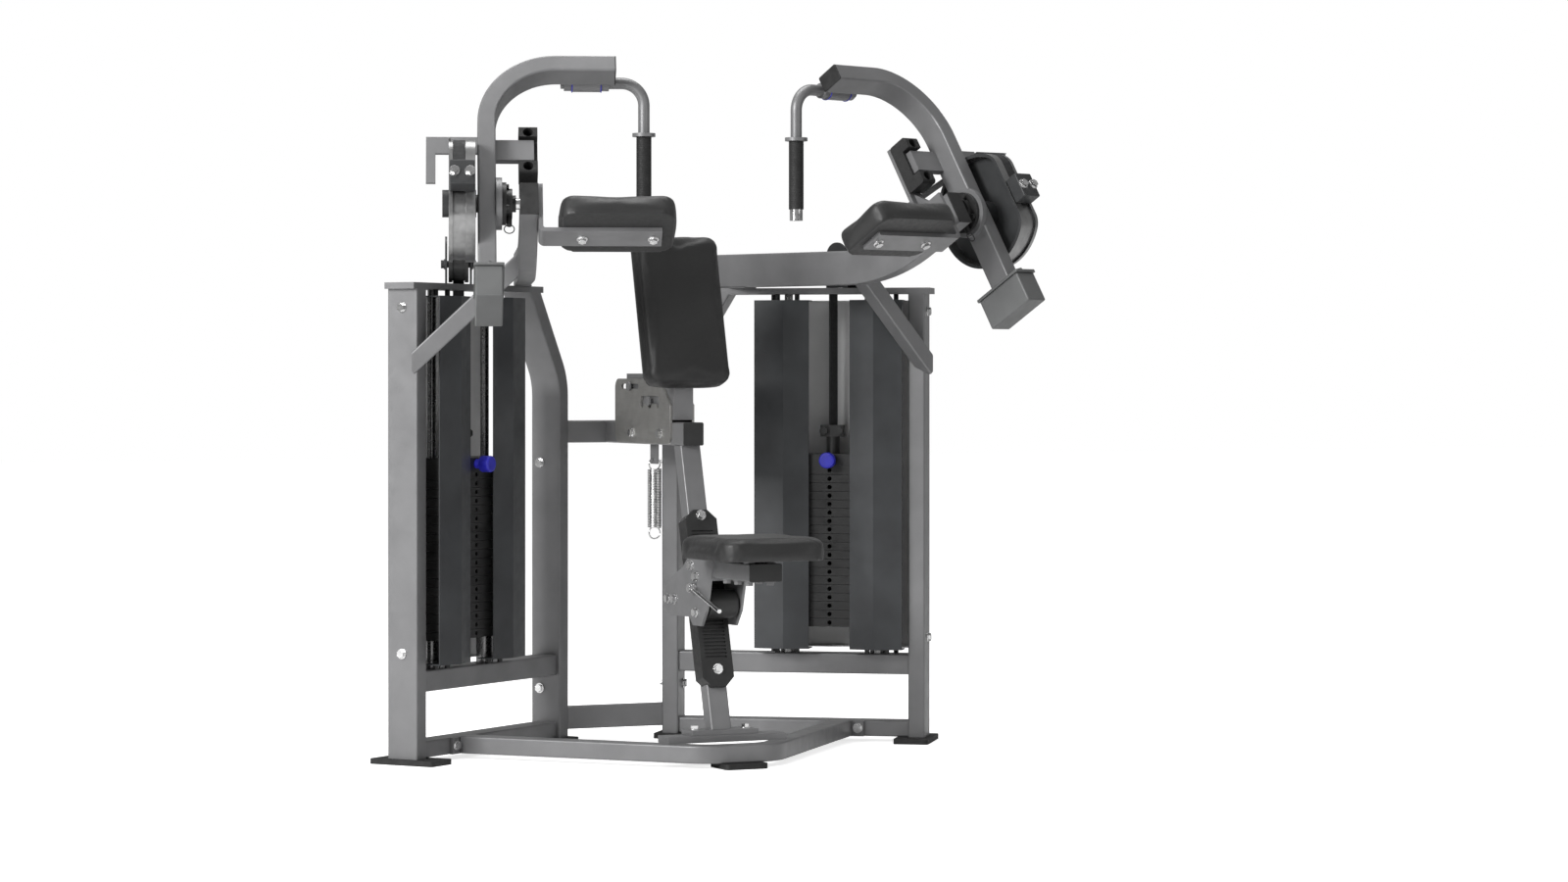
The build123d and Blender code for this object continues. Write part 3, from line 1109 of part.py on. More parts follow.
def adjuster_plates():
    """Two side plates on the centre tube with slots for the cushion's pins and three notches."""
    length, tall, thick = ADJUSTER
    inner = CENTRE_TUBE_WIDTH / 2
    plate = span((inner, inner + thick), (ADJUSTER_REAR - length, ADJUSTER_REAR),
                 (ADJUSTER_BOTTOM, ADJUSTER_BOTTOM + tall))
    plate = fillet(plate.edges().filter_by(Axis.X), 22)
    front, top = ADJUSTER_REAR - length, ADJUSTER_BOTTOM + tall
    nose = [(front, top - ADJUSTER_NOSE[1]), (front + ADJUSTER_NOSE[0], top), (front - 1, top + 1)]
    plate -= prism(nose, "X", inner - 1, inner + thick + 1)
    wide = BACK_PIN_RADIUS + BACK_SLOT_GAP
    for y, z in BACK_PINS:
        ends = (y - NOTCH_PITCH, y + NOTCH_PITCH)
        plate -= span((inner - 1, inner + thick + 1), ends, (z - wide, z + wide))
        for end in ends:
            plate -= rod((inner - 1, end, z), (inner + thick + 1, end, z), wide)
    y, z = BACK_PINS[0]
    through = (inner - 1, inner + thick + 1)
    plate -= span(through, (y - NOTCH_PITCH - wide, y + NOTCH_PITCH + wide), (z, z + SLOT_HEADROOM))
    for step in (-1, 0, 1):
        at = y + step * NOTCH_PITCH
        plate -= rod((through[0], at, z - wide), (through[1], at, z - wide), NOTCH_RADIUS)
    for y in (-200.0, -370.0):
        plate += bolt((inner + thick, y, ADJUSTER_BOTTOM + 24), (1, 0, 0))
    return both(plate)


# ---------------------------------------------------------------- the whole machine
def machine():
    """Every node by name, in the working frame whose z = 0 is the posts' lower ends."""
    paired = {
        "tower": tower_frame(), "swan_neck": swan_neck(), "pad_bracket": pad_bracket(),
        "arm_pad": arm_pad(), "weight_plates": stack_plates(), "head_plate": head_plate(),
        "selector_pin": selector_pin(), "belt_run": belt_run(), "belt_drop": belt_drop(),
        "belt_wrap": belt_wrap(), "pulley": pulley(), "arm": arm_tube(), "counterweight": counterweight(),
        "belt_drum": belt_drum(), "clamp_block": clamp_block(), "arm_bearing": arm_bearing(),
        "handle": handle(), "grip": grip(),
    }
    nodes = {}
    for name, shape in paired.items():
        nodes["left_" + name] = group(shape)
        nodes["right_" + name] = group(mirror(shape, about=Plane.YZ))
    nodes.update({
        "base_frame": base_frame(), "rear_links": rear_links(), "seat_column": seat_column(),
        "rubber_feet": rubber_feet(), "tube_caps": tube_caps(), "frame_bolts": frame_bolts(),
        "guide_rods": guide_rods(), "front_shrouds": front_shrouds(), "rear_panels": rear_panels(),
        "shroud_spacers": shroud_spacers(), "braces": braces(), "bumpers": bumpers(),
        "pivot_shafts": pivot_shafts(), "pulley_brackets": pulley_brackets(), "seat_rack": seat_rack(),
        "seat_carriage": seat_carriage(), "seat_rollers": seat_rollers(), "seat_latch": seat_latch(),
        "seat_lever": seat_lever(), "seat_pad": seat_pad(),
        "seat_spring": seat_spring(), "back_pad": back_pad(), "back_carriage": back_carriage(),
        "adjuster_plates": adjuster_plates(),
    })
    return nodes


def placing(nodes):
    """Move that puts the feet on z = 0 and the middle of the whole machine's depth on y = 0."""
    boxes = [shape.bounding_box() for shape in nodes.values()]
    front = min(box.min.Y for box in boxes)
    rear = max(box.max.Y for box in boxes)
    return Pos(0, -(front + rear) / 2, FOOT_THICK)


def main():
    """Writes one STEP file for each node."""
    os.makedirs("parts", exist_ok=True)
    nodes = machine()
    move = placing(nodes)
    for name, shape in nodes.items():
        moved = move * shape
        moved.label = name
        export_step(moved, f"parts/{name}.step")
    print(len(nodes), "nodes, moved by", move.position)


main()
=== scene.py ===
"""Looks of the seated two-arm extension machine: materials, cushions, spring, trim, light and camera."""
from math import cos, pi, radians, sin

import bmesh
import bpy
from mathutils import Matrix, Vector


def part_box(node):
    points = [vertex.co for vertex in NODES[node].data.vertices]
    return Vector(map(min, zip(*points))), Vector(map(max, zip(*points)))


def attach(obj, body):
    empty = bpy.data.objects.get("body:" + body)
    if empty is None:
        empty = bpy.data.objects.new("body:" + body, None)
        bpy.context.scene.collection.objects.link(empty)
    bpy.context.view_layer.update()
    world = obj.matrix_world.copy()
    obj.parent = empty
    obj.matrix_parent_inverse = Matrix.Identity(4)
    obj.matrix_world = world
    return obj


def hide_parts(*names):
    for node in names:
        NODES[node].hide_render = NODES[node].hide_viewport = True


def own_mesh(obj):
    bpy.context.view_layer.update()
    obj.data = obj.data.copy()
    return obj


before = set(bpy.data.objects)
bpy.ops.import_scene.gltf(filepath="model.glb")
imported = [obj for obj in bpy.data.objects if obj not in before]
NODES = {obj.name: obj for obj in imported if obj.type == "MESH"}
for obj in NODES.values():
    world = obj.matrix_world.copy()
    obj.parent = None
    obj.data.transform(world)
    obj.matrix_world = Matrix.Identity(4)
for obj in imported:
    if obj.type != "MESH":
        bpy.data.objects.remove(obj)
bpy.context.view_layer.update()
SIDES = {"left": 1, "right": -1}
MM = 0.001

# ---------------------------------------------------------------- the model's working frames, in metres
MOVE = Vector((0, 0.458564, 0.0125))
SWING_YAW = radians(20)
ARM_LEAN = radians(31)
FORWARD = Vector((sin(SWING_YAW), -cos(SWING_YAW), 0))
OUTWARD = Vector((cos(SWING_YAW), sin(SWING_YAW), 0))
UP = Vector((0, 0, 1))
LEAN_X = FORWARD * cos(ARM_LEAN) + UP * sin(ARM_LEAN)
LEAN_Z = UP * cos(ARM_LEAN) - FORWARD * sin(ARM_LEAN)
PIVOT = FORWARD * 0.9 + UP * 1.245 + MOVE
BACK_LEAN = radians(14)


def frame_matrix(origin, x, y, z):
    """Matrix from a local frame to the row frame."""
    matrix = Matrix((x, y, z)).transposed().to_4x4()
    matrix.translation = origin
    return matrix


def mirrored(matrix):
    """The same local frame on the machine's other side."""
    return Matrix.Scale(-1, 4, Vector((1, 0, 0))) @ matrix


ARM = frame_matrix(PIVOT, LEAN_X, OUTWARD, LEAN_Z)
SWING = frame_matrix(MOVE, FORWARD, OUTWARD, UP)
BACK_UP = Vector((0, sin(BACK_LEAN), cos(BACK_LEAN)))
ACROSS = Vector((1, 0, 0))
BACK = frame_matrix(Vector((0, -0.492, 0.850)) + MOVE, ACROSS, BACK_UP.cross(ACROSS), BACK_UP)


# ---------------------------------------------------------------- materials
def linear(code):
    """Linear colour of an sRGB hex code."""
    values = [int(code[i:i + 2], 16) / 255 for i in (1, 3, 5)]
    return tuple(v / 12.92 if v <= 0.04045 else ((v + 0.055) / 1.055) ** 2.4 for v in values) + (1.0,)


class Finish:
    """Node tree of one material, with helpers that add linked nodes."""

    def __init__(self, name, metallic=0.0, edge=0.0012):
        self.material = bpy.data.materials.new(name)
        self.material.use_nodes = True
        self.tree = self.material.node_tree
        self.shader = self.tree.nodes["Principled BSDF"]
        self.shader.inputs["Metallic"].default_value = metallic
        self.coords = self.tree.nodes.new("ShaderNodeTexCoord").outputs["Object"]
        bevel = self.tree.nodes.new("ShaderNodeBevel")
        bevel.inputs["Radius"].default_value = edge
        bevel.samples = 4
        self.normal = bevel.outputs["Normal"]

    def link(self, a, b):
        self.tree.links.new(a, b)

    def noise(self, size, detail=3.0, stretch=(1, 1, 1), rough=0.5):
        """Noise whose features are about size metres."""
        mapping = self.tree.nodes.new("ShaderNodeMapping")
        mapping.inputs["Scale"].default_value = stretch
        self.link(self.coords, mapping.inputs["Vector"])
        node = self.tree.nodes.new("ShaderNodeTexNoise")
        node.inputs["Scale"].default_value = 1 / size
        node.inputs["Detail"].default_value = detail
        node.inputs["Roughness"].default_value = rough
        self.link(mapping.outputs["Vector"], node.inputs["Vector"])
        return node.outputs["Fac"]

    def cells(self, size, randomness=1.0):
        """Distance to cell borders about size metres apart, for leather grain."""
        node = self.tree.nodes.new("ShaderNodeTexVoronoi")
        node.feature = "DISTANCE_TO_EDGE"
        node.inputs["Scale"].default_value = 1 / size
        node.inputs["Randomness"].default_value = randomness
        self.link(self.coords, node.inputs["Vector"])
        return node.outputs["Distance"]

    def ramp(self, value, low, high, start=0.3, end=0.7):
        """Colour or grey that goes from low to high as value goes from start to end."""
        node = self.tree.nodes.new("ShaderNodeValToRGB")
        node.color_ramp.elements[0].position = start
        node.color_ramp.elements[1].position = end
        for element, tone in zip(node.color_ramp.elements, (low, high)):
            element.color = tone if isinstance(tone, tuple) else (tone, tone, tone, 1.0)
        self.link(value, node.inputs["Fac"])
        return node.outputs["Color"]

    def colour(self, socket):
        self.link(socket, self.shader.inputs["Base Color"])

    def roughness(self, socket):
        self.link(socket, self.shader.inputs["Roughness"])

    def bump(self, height, depth, strength=1.0):
        """Adds a bump of depth metres on top of the normal so far."""
        node = self.tree.nodes.new("ShaderNodeBump")
        node.inputs["Distance"].default_value = depth
        node.inputs["Strength"].default_value = strength
        self.link(height, node.inputs["Height"])
        self.link(self.normal, node.inputs["Normal"])
        self.normal = node.outputs["Normal"]

    def done(self):
        self.link(self.normal, self.shader.inputs["Normal"])
        return self.material


def powder_coat(name, dark, light, metallic=0.0, rough=(0.38, 0.5), peel=0.00003, flake=False):
    """Powder-coated steel: fine orange peel, a little cloudiness and faint rubbed sheen."""
    finish = Finish(name, metallic)
    cloud = finish.noise(0.09, 4)
    finish.colour(finish.ramp(cloud, linear(dark), linear(light)))
    finish.roughness(finish.ramp(finish.noise(0.03, 5), rough[0], rough[1]))
    finish.bump(finish.noise(0.0016, 2), peel)
    if flake:
        finish.bump(finish.noise(0.0004, 1), peel / 2)
        finish.shader.inputs["Coat Weight"].default_value = 0.25
        finish.shader.inputs["Coat Roughness"].default_value = 0.25
    return finish.done()


def plated(name, dark, light, rough=(0.12, 0.24)):
    """Bright plated steel with light handling marks."""
    finish = Finish(name, 1.0, 0.0006)
    finish.colour(finish.ramp(finish.noise(0.02, 3), linear(dark), linear(light)))
    finish.roughness(finish.ramp(finish.noise(0.006, 5), rough[0], rough[1]))
    finish.bump(finish.noise(0.002, 2, (1, 1, 6)), 0.00001)
    return finish.done()


def brushed_zinc(name):
    """Zinc-plated sheet with a long grain and mottled passivation."""
    finish = Finish(name, 0.85)
    finish.colour(finish.ramp(finish.noise(0.025, 6), linear("#9d9c99"), linear("#a9a8a5")))
    finish.roughness(finish.ramp(finish.noise(0.004, 4, (1, 0.1, 1)), 0.34, 0.52))
    finish.bump(finish.noise(0.0012, 3, (1, 0.06, 1)), 0.00003)
    return finish.done()


def vinyl(name, dark="#191919", light="#212121"):
    """Upholstery vinyl: fine irregular leather grain, soft sheen and wider wrinkles."""
    finish = Finish(name, 0.0, 0.0)
    finish.colour(finish.ramp(finish.noise(0.12, 3), linear(dark), linear(light)))
    grain = finish.ramp(finish.cells(0.0014), 0.0, 1.0, 0.0, 0.35)
    finish.roughness(finish.ramp(finish.noise(0.01, 4), 0.42, 0.56))
    finish.bump(finish.noise(0.06, 2), 0.0004, 0.4)
    finish.bump(grain, 0.00006, 0.6)
    finish.shader.inputs["Sheen Weight"].default_value = 0.08
    return finish.done()


def rubber(name, dark, light, rib=0.0, axis=2):
    """Black rubber with a dusty matt surface and, on grips, moulded ribs."""
    finish = Finish(name, 0.0)
    finish.colour(finish.ramp(finish.noise(0.02, 4), linear(dark), linear(light)))
    finish.roughness(finish.ramp(finish.noise(0.004, 4), 0.55, 0.78))
    finish.bump(finish.noise(0.0009, 3), 0.00005)
    if rib:
        wave = finish.tree.nodes.new("ShaderNodeTexWave")
        wave.bands_direction = "XYZ"[axis]
        wave.inputs["Scale"].default_value = 0.31416 / rib
        finish.link(finish.coords, wave.inputs["Vector"])
        finish.bump(wave.outputs["Fac"], 0.0005, 0.8)
    return finish.done()


def moulded(name, dark, light, rough=(0.34, 0.5)):
    """Injection-moulded plastic with a fine spark-eroded texture."""
    finish = Finish(name, 0.0, 0.0008)
    finish.colour(finish.ramp(finish.noise(0.04, 3), linear(dark), linear(light)))
    finish.roughness(finish.ramp(finish.noise(0.01, 4), rough[0], rough[1]))
    finish.bump(finish.noise(0.0007, 2), 0.00004)
    return finish.done()


GRAPHITE = powder_coat("graphite_powder_coat", "#737374", "#7d7d7e", 0.35, flake=True)
BLOCK = powder_coat("grey_cast_block_paint", "#5b5c5c", "#646565", 0.1)
DRUM = powder_coat("dark_satin_drum_paint", "#2b2c2d", "#363738", 0.1)
PLATE = powder_coat("black_weight_plate_enamel", "#161616", "#202020", 0.0, (0.3, 0.45))
SHROUD = powder_coat("charcoal_sheet_enamel", "#333436", "#3d3f41", 0.15, (0.32, 0.44))
# Rear panels: a light grey enamel whose tone is raised well above its own as painted light, to make up for
# the shade they sit in inside the frame.
PANEL = powder_coat("light_grey_enamel_lifted_by_painted_light", "#d2d2d2", "#dcdcdc", 0.0, (0.45, 0.6))
CHROME = plated("plated_bright_steel", "#c9c9c9", "#eeeeee")
ROD_STEEL = plated("ground_rod_steel", "#7e7e7e", "#8c8c8c", (0.24, 0.34))
RIM = plated("turned_satin_steel", "#8f8f8f", "#a0a0a0", (0.32, 0.42))
ZINC = brushed_zinc("brushed_zinc_plate")
VINYL = vinyl("black_upholstery_vinyl")
RUBBER = rubber("black_moulded_rubber", "#171717", "#232323")
GRIP = rubber("ribbed_grip_rubber", "#141414", "#1f1f1f", 0.004)
BELT = rubber("black_kevlar_belt", "#1a1a1b", "#262627", 0.003)
PLASTIC = moulded("black_moulded_nylon", "#1b1b1b", "#262626")
BLUE = moulded("blue_moulded_nylon", "#20209a", "#2a2ab4")

NODE_FINISH = {
    "tower": GRAPHITE, "swan_neck": GRAPHITE, "pad_bracket": GRAPHITE, "arm": GRAPHITE,
    "weight_plates": PLATE, "head_plate": PLATE, "selector_pin": BLUE, "belt_run": BELT,
    "belt_drop": BELT, "belt_wrap": BELT, "pulley": PLASTIC, "counterweight": BLOCK,
    "belt_drum": DRUM, "clamp_block": DRUM, "arm_bearing": PLASTIC, "handle": GRAPHITE, "grip": GRIP,
    "arm_pad": VINYL, "base_frame": GRAPHITE, "rear_links": GRAPHITE, "seat_column": GRAPHITE,
    "rubber_feet": RUBBER, "tube_caps": PLASTIC, "frame_bolts": CHROME, "guide_rods": ROD_STEEL,
    "front_shrouds": SHROUD, "rear_panels": PANEL, "shroud_spacers": PLASTIC, "braces": GRAPHITE,
    "bumpers": RUBBER, "pivot_shafts": CHROME, "pulley_brackets": DRUM, "seat_rack": PLASTIC,
    "seat_carriage": GRAPHITE, "seat_rollers": PLASTIC, "seat_latch": PLASTIC, "seat_lever": CHROME,
    "seat_pad": VINYL, "seat_spring": CHROME, "back_pad": VINYL, "back_carriage": GRAPHITE,
    "adjuster_plates": ZINC,
}
for name, node in NODES.items():
    key = name.split("_", 1)[1] if name.split("_", 1)[0] in SIDES else name
    node.data.materials.clear()
    node.data.materials.append(NODE_FINISH[key])

# ---------------------------------------------------------------- second finishes on the CAD nodes
PROUD = 0.2 * MM            # a face this far out of its plate belongs to a bolt
CARRIAGE_SIDE = 45.5 * MM
ADJUSTER_SIDE = 31.0 * MM
COLUMN_SIDE = 26.0 * MM
COLUMN_PLATE_TOP = 66.5 * MM + MOVE.z
RACK_FRONT = 34.0 * MM
BRACKET_UNDER = -86.0 * MM
CLAMP_FRONT = 135.0 * MM
GRIP_END = 1250.5 * MM + MOVE.z
DRUM_EDGE = 95.0 * MM
COLUMN_LEAN = radians(15.5)
COLUMN_AHEAD = Vector((0, -cos(COLUMN_LEAN), sin(COLUMN_LEAN)))
COLUMN_FOOT = Vector((0, -0.650, 0)) + MOVE


def refinish(name, material, chosen):
    """Gives a second material to the faces of a node whose centre and normal are chosen."""
    data = NODES[name].data
    data.materials.append(material)
    index = len(data.materials) - 1
    for face in data.polygons:
        if chosen(face.center, face.normal):
            face.material_index = index


def in_arm(point, side):
    """A row-frame point in the arm's own frame on either side."""
    return ARM.inverted() @ Vector((point.x * side, point.y, point.z))


def on_drum_rim(centre, normal, side):
    """True on the drum's turned edge and belt groove, which face away from its axis."""
    at = in_arm(centre, side)
    facing = Vector((normal.x * side, normal.y, normal.z)).dot(OUTWARD)
    return abs(facing) < 0.3 and Vector((at.x, at.z)).length > DRUM_EDGE


refinish("seat_carriage", CHROME, lambda at, normal: abs(at.x) > CARRIAGE_SIDE + PROUD)
refinish("adjuster_plates", CHROME, lambda at, normal: abs(at.x) > ADJUSTER_SIDE + PROUD)
refinish("seat_column", CHROME, lambda at, normal: abs(at.x) > COLUMN_SIDE
         and at.z > COLUMN_PLATE_TOP + PROUD)
refinish("seat_rack", CHROME, lambda at, normal: (at - COLUMN_FOOT).dot(COLUMN_AHEAD) > RACK_FRONT + PROUD)
for side_name, sign in SIDES.items():
    refinish(f"{side_name}_pad_bracket", CHROME,
             lambda at, normal: in_arm(at, sign).z < BRACKET_UNDER - PROUD)
    refinish(f"{side_name}_clamp_block", CHROME,
             lambda at, normal: in_arm(at, sign).x > CLAMP_FRONT + PROUD)
    refinish(f"{side_name}_handle", CHROME, lambda at, normal: at.z < GRIP_END)
    refinish(f"{side_name}_belt_drum", RIM, lambda at, normal: on_drum_rim(at, normal, sign))


# ---------------------------------------------------------------- helpers for new pieces
def piece(name, mesh, material, body, matrix=None):
    """New object in the row frame that rides on a body and takes its finish from a slot."""
    if matrix is not None:
        mesh.transform(matrix)
        if matrix.determinant() < 0:
            mesh.flip_normals()
    made = bpy.data.objects.new(name, mesh)
    bpy.context.scene.collection.objects.link(made)
    mesh.materials.clear()
    mesh.materials.append(material)
    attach(made, body)
    return made


def rounded_block(size, corner, rim):
    """Block centred on x and y with z from 0, with round corners in plan and a rounded rim."""
    mesh = bmesh.new()
    bmesh.ops.create_cube(mesh, size=1.0)
    bmesh.ops.scale(mesh, vec=size, verts=mesh.verts)
    bmesh.ops.translate(mesh, vec=(0, 0, size[2] / 2), verts=mesh.verts)
    upright = [e for e in mesh.edges if abs(e.verts[0].co.z - e.verts[1].co.z) > size[2] / 2]
    bmesh.ops.bevel(mesh, geom=upright, offset=corner, segments=10, profile=0.5, affect="EDGES")
    top = max(v.co.z for v in mesh.verts)
    ring = [e for e in mesh.edges if all(v.co.z > top - 1e-5 for v in e.verts) and len(e.link_faces) == 2
            and any(f.normal.z < 0.5 for f in e.link_faces)]
    bmesh.ops.bevel(mesh, geom=ring, offset=rim, segments=6, profile=0.6, affect="EDGES")
    data = bpy.data.meshes.new("block")
    mesh.to_mesh(data)
    mesh.free()
    return data


def evaluated(made):
    """Mesh of an object with its modifiers applied."""
    graph = bpy.context.evaluated_depsgraph_get()
    return bpy.data.meshes.new_from_object(made.evaluated_get(graph))


VOXEL = 0.006
PRESSURE = 4.0
CLOTH_FRAMES = 20
SUBDIVISIONS = 1


def inflate(mesh, cap, pinned):
    """Cloth simulation that swells a closed shape by no more than cap, with its underside held."""
    soft = bpy.data.objects.new("inflating", mesh)
    bpy.context.scene.collection.objects.link(soft)
    remesh = soft.modifiers.new("voxels", "REMESH")
    remesh.mode = "VOXEL"
    remesh.voxel_size = VOXEL
    remesh.use_smooth_shade = True
    dense = evaluated(soft)
    soft.modifiers.clear()
    soft.data = dense
    before = [v.co.copy() for v in dense.vertices]
    held = soft.vertex_groups.new(name="held")
    held.add([v.index for v in dense.vertices if v.co.z < pinned], 1.0, "ADD")
    cloth = soft.modifiers.new("cloth", "CLOTH")
    cloth.settings.use_pressure = True
    cloth.settings.uniform_pressure_force = PRESSURE
    cloth.settings.effector_weights.gravity = 0
    cloth.settings.vertex_group_mass = "held"
    cloth.settings.tension_stiffness = 15
    cloth.settings.bending_stiffness = 4
    for step in range(1, CLOTH_FRAMES + 1):
        bpy.context.scene.frame_set(step)
    swollen = evaluated(soft)
    soft.modifiers.clear()
    soft.data = swollen
    for vertex, rest in zip(swollen.vertices, before):
        shift = vertex.co - rest
        if shift.length > cap:
            vertex.co = rest + shift.normalized() * cap
    bpy.context.scene.frame_set(1)
    final = soft.data
    bpy.data.objects.remove(soft)
    return final


def seam(mesh, level, half, depth):
    """Presses a stitched seam into a cushion's side, level metres above its base."""
    mesh.update()
    for vertex in mesh.vertices:
        away = abs(vertex.co.z - level)
        if away < half and abs(vertex.normal.z) < 0.8:
            vertex.co -= vertex.normal * depth * (1 - away / half)


def cushion(name, node, size, corner, rim, matrix, body, cap=0.004, crown=0.0):
    """Stuffed cushion in a local frame whose z points out of its board."""
    inset = cap * 0.7
    block = rounded_block((size[0] - 2 * inset, size[1] - 2 * inset, size[2] - inset), corner, rim)
    soft = inflate(block, cap, 0.004)
    half_x, half_y = size[0] / 2, size[1] / 2
    for vertex in soft.vertices:
        share = (1 - (vertex.co.x / half_x) ** 2) * (1 - (vertex.co.y / half_y) ** 2)
        if vertex.co.z > size[2] * 0.6:
            vertex.co.z += crown * max(share, 0) - crown * 0.5
    seam(soft, 0.011, 0.004, 0.0016)
    made = piece(name, soft, VINYL, body, matrix)
    for polygon in made.data.polygons:
        polygon.use_smooth = True
    smooth = made.modifiers.new("subdivision", "SUBSURF")
    smooth.levels = smooth.render_levels = SUBDIVISIONS
    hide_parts(node)
    return made


# ---------------------------------------------------------------- cushions
ARM_PAD = (0.162, 0.257, 0.056)
arm_pad_seat = ARM @ Matrix.Translation((0.0016, 0.0277, -0.076))
cushion("left_arm_cushion", "left_arm_pad", ARM_PAD, 0.030, 0.016, arm_pad_seat, "frame")
cushion("right_arm_cushion", "right_arm_pad", ARM_PAD, 0.030, 0.016, mirrored(arm_pad_seat), "frame")
seat_low, seat_high = (Vector(corner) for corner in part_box("seat_pad"))
seat_place = Matrix.Translation((0, (seat_low.y + seat_high.y) / 2, seat_low.z))
cushion("seat_cushion", "seat_pad", tuple(seat_high - seat_low), 0.048, 0.018, seat_place, "seat")
BACK_PAD = (0.214, 0.363, 0.054)
back_face = BACK @ frame_matrix(Vector((0, 0.054, 0.1815)), ACROSS, UP, Vector((0, -1, 0)))
cushion("back_cushion", "back_pad", BACK_PAD, 0.030, 0.016, back_face, "back")


# ---------------------------------------------------------------- coil spring
def tube_curve(name, points, radius, material, body, cyclic=False):
    """Smooth round wire through points, as a mesh."""
    curve = bpy.data.curves.new(name, "CURVE")
    curve.dimensions = "3D"
    curve.bevel_depth = radius
    curve.bevel_resolution = 3
    spline = curve.splines.new("POLY")
    spline.points.add(len(points) - 1)
    for slot_point, point in zip(spline.points, points):
        slot_point.co = (*point, 1)
    spline.use_cyclic_u = cyclic
    holder = bpy.data.objects.new(name, curve)
    bpy.context.scene.collection.objects.link(holder)
    mesh = evaluated(holder)
    bpy.data.objects.remove(holder)
    for polygon in mesh.polygons:
        polygon.use_smooth = True
    return piece(name, mesh, material, body)


SPRING_Y = -0.262 + MOVE.y
SPRING_LOW, SPRING_HIGH = 0.510 + MOVE.z, 0.648 + MOVE.z
SPRING_RADIUS, WIRE = 0.017, 0.00175
SPRING_HOOK = 0.7075 - 0.047 + 0.012 + MOVE.z
TURN_STEPS = 20


def spring_points():
    """Close-wound coil with an end loop above and below."""
    reach = SPRING_RADIUS - WIRE
    turns = int((SPRING_HIGH - SPRING_LOW) / (2.12 * WIRE))
    loop = (SPRING_HOOK + WIRE - SPRING_HIGH + 0.002) / 2
    points = []
    for step in range(TURN_STEPS + 1):
        angle = -pi / 2 + 1.8 * pi * (1 - step / TURN_STEPS)
        points.append((loop * cos(angle), SPRING_Y, SPRING_LOW - loop + 0.002 + loop * sin(angle) * -1))
    for step in range(turns * TURN_STEPS + 1):
        angle = 2 * pi * step / TURN_STEPS
        height = SPRING_LOW + (SPRING_HIGH - SPRING_LOW) * step / (turns * TURN_STEPS)
        points.append((reach * cos(angle), SPRING_Y + reach * sin(angle), height))
    for step in range(TURN_STEPS + 1):
        angle = -pi / 2 + 1.8 * pi * step / TURN_STEPS
        points.append((loop * cos(angle), SPRING_Y, SPRING_HIGH + loop - 0.002 + loop * sin(angle)))
    return points


spring = tube_curve("coil_spring", spring_points(), WIRE, CHROME, "frame")
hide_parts("seat_spring")

# ---------------------------------------------------------------- belts below the pulleys
for side_name in SIDES:
    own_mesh(NODES[f"{side_name}_belt_drop"])

# ---------------------------------------------------------------- end caps and sleeve rings
CAP_THICK = 0.0025
ARM_END = (0.060, 0.040)
ARM_CAP_SEAT = ARM @ frame_matrix(Vector((0, 0.025, 0.359)), ACROSS, UP, Vector((0, -1, 0)))
BEAM_END = (0.079, 0.040)
BEAM_CAP_SEAT = frame_matrix(Vector((0, -0.890, 0.432)) + MOVE, ACROSS, UP, Vector((0, -1, 0)))
RING_RADIUS, RING_WIRE, RING_STEPS = 0.0203, 0.0012, 40
SLEEVE_CENTRE = Vector((-0.050, 0, 0.359))
SLEEVE_ENDS = (0.054, 0.119)


def end_cap(name, size, seat, body):
    """Thin moulded cap that covers a tube's open end."""
    block = rounded_block((*size, CAP_THICK), 0.004, 0.001)
    piece(name, block, PLASTIC, body, seat)


def sleeve_ring(name, out, side_frame, body):
    """Thin blue wear ring round the handle sleeve."""
    points = []
    for step in range(RING_STEPS):
        angle = 2 * pi * step / RING_STEPS
        around = Vector((RING_RADIUS * cos(angle), out, RING_RADIUS * sin(angle)))
        points.append(side_frame @ (SLEEVE_CENTRE + around))
    tube_curve(name, points, RING_WIRE, BLUE, body, cyclic=True)


for side_name, side_frame in (("left", ARM), ("right", mirrored(ARM))):
    seat = ARM_CAP_SEAT if side_name == "left" else mirrored(ARM_CAP_SEAT)
    end_cap(f"{side_name}_arm_cap", ARM_END, seat, f"{side_name}_arm_unit")
    for number, out in enumerate(SLEEVE_ENDS):
        sleeve_ring(f"{side_name}_sleeve_ring_{number}", out, side_frame, f"{side_name}_arm_unit")
end_cap("seat_beam_cap", BEAM_END, BEAM_CAP_SEAT, "seat")

# ---------------------------------------------------------------- floor, light and camera
mesh = bpy.data.meshes.new("floor")
reach = 30.0
corners = [(-reach, -reach, 0), (reach, -reach, 0), (reach, reach, 0), (-reach, reach, 0)]
mesh.from_pydata(corners, [], [(0, 1, 2, 3)])
floor = bpy.data.objects.new("floor", mesh)
bpy.context.scene.collection.objects.link(floor)
FLOOR_GLOW = 0.72           # keeps the sheet under the machine as white as the one behind it
floor_finish = Finish("pale_studio_floor")
floor_finish.colour(floor_finish.ramp(floor_finish.noise(2.0), linear("#fafafa"), linear("#ffffff")))
floor_finish.shader.inputs["Roughness"].default_value = 0.9
floor_finish.shader.inputs["Specular IOR Level"].default_value = 0.1
floor.data.materials.append(floor_finish.done())

world = bpy.data.worlds.new("studio")
bpy.context.scene.world = world
world.use_nodes = True
BACKDROP = 1.0              # brightness of the white sheet behind the machine, as the camera sees it
ROOM = 0.30                 # soft light that the same sheet gives the machine


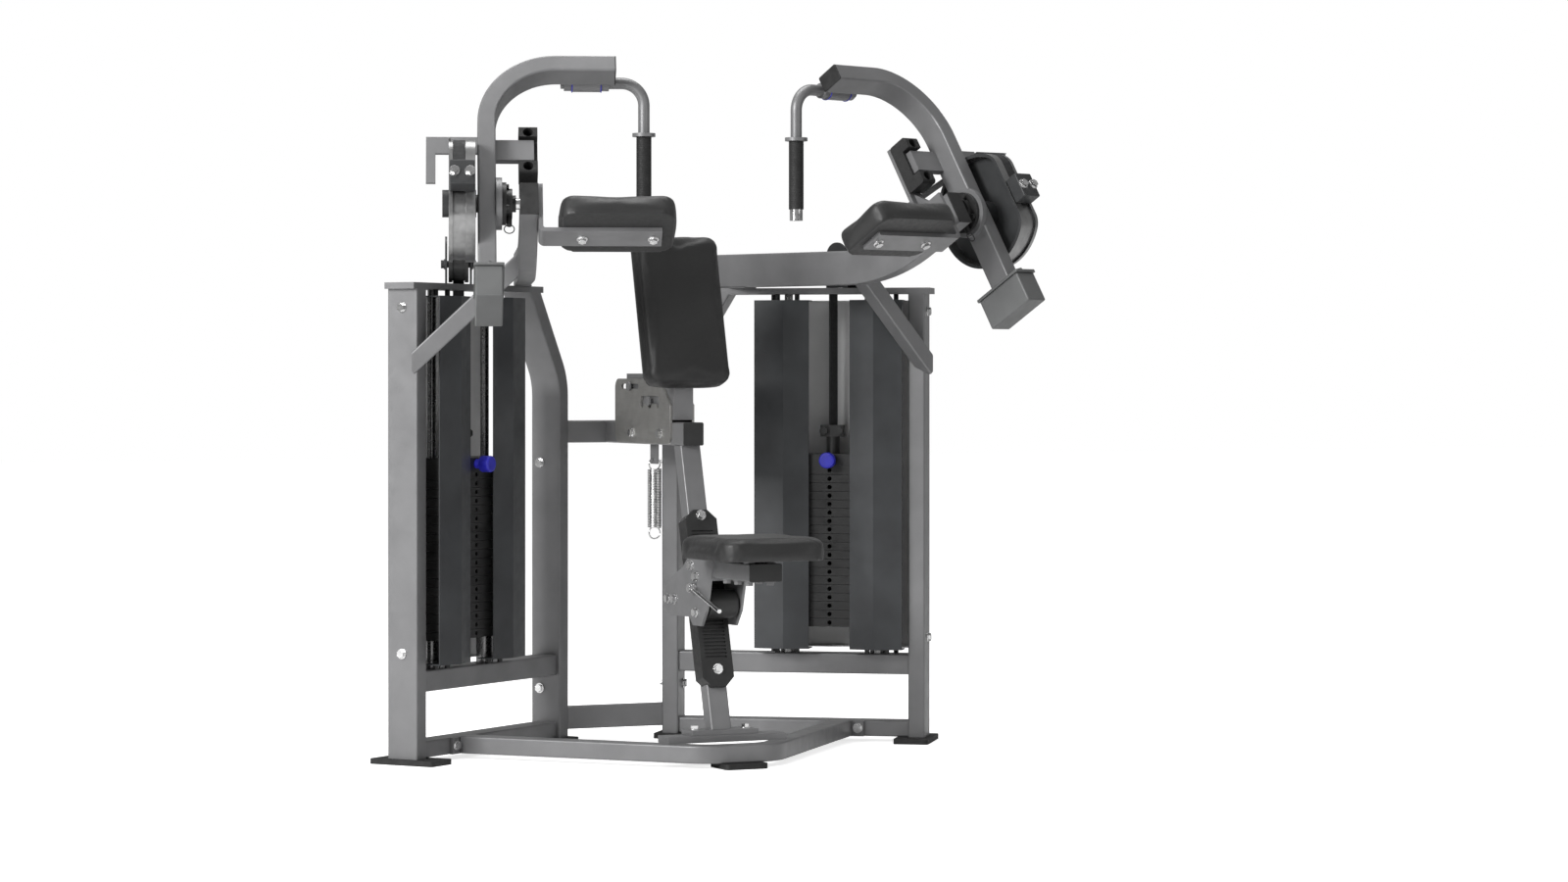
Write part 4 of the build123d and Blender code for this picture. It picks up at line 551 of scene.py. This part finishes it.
def seen_or_lit(tree, seen, lit):
    """A strength that is seen on camera rays and lit on all others."""
    path = tree.nodes.new("ShaderNodeLightPath")
    mix = tree.nodes.new("ShaderNodeMapRange")
    mix.inputs["To Min"].default_value = lit
    mix.inputs["To Max"].default_value = seen
    tree.links.new(path.outputs["Is Camera Ray"], mix.inputs["Value"])
    return mix.outputs["Result"]


backdrop = world.node_tree.nodes["Background"]
backdrop.inputs["Color"].default_value = (1, 1, 1, 1)
world.node_tree.links.new(seen_or_lit(world.node_tree, BACKDROP, ROOM), backdrop.inputs["Strength"])
floor_finish.shader.inputs["Emission Color"].default_value = (1, 1, 1, 1)
glow = seen_or_lit(floor_finish.tree, FLOOR_GLOW, 0.0)
floor_finish.link(glow, floor_finish.shader.inputs["Emission Strength"])


def area_light(name, at, target, size, power):
    """Soft rectangular lamp that points at target."""
    data = bpy.data.lights.new(name, "AREA")
    data.shape = "RECTANGLE"
    data.size, data.size_y = size
    data.energy = power
    lamp = bpy.data.objects.new(name, data)
    lamp.location = at
    lamp.rotation_mode = "QUATERNION"
    lamp.rotation_quaternion = (Vector(target) - Vector(at)).to_track_quat("-Z", "Y")
    bpy.context.scene.collection.objects.link(lamp)


area_light("key", (-5.5, -2.6, 3.2), (0, 0, 0.9), (2.5, 2.5), 430)
area_light("fill", (3.5, -5.5, 2.0), (0, 0, 0.8), (2.5, 2.0), 25)
area_light("top", (0, 0.3, 4.5), (0, 0, 0.8), (3.0, 2.0), 90)

CAMERA_BACK = Vector((-0.42183, -0.90667, 0))
camera_data = bpy.data.cameras.new("camera")
camera_data.lens = 88.67
camera_data.sensor_width = 36.0
camera_data.shift_y = -0.0427
camera_data.clip_end = 200
camera = bpy.data.objects.new("camera", camera_data)
camera.location = Vector((-3.57312, -8.66729, 0.87284)) + MOVE
camera.rotation_mode = "QUATERNION"
camera.rotation_quaternion = (-CAMERA_BACK).to_track_quat("-Z", "Y")
bpy.context.scene.collection.objects.link(camera)

scene = bpy.context.scene
scene.camera = camera
scene.render.engine = "CYCLES"
scene.cycles.samples = 128
scene.cycles.use_denoising = True
scene.view_settings.view_transform = "Standard"
scene.view_settings.look = "None"
scene.render.resolution_x = 1600
scene.render.resolution_y = 900
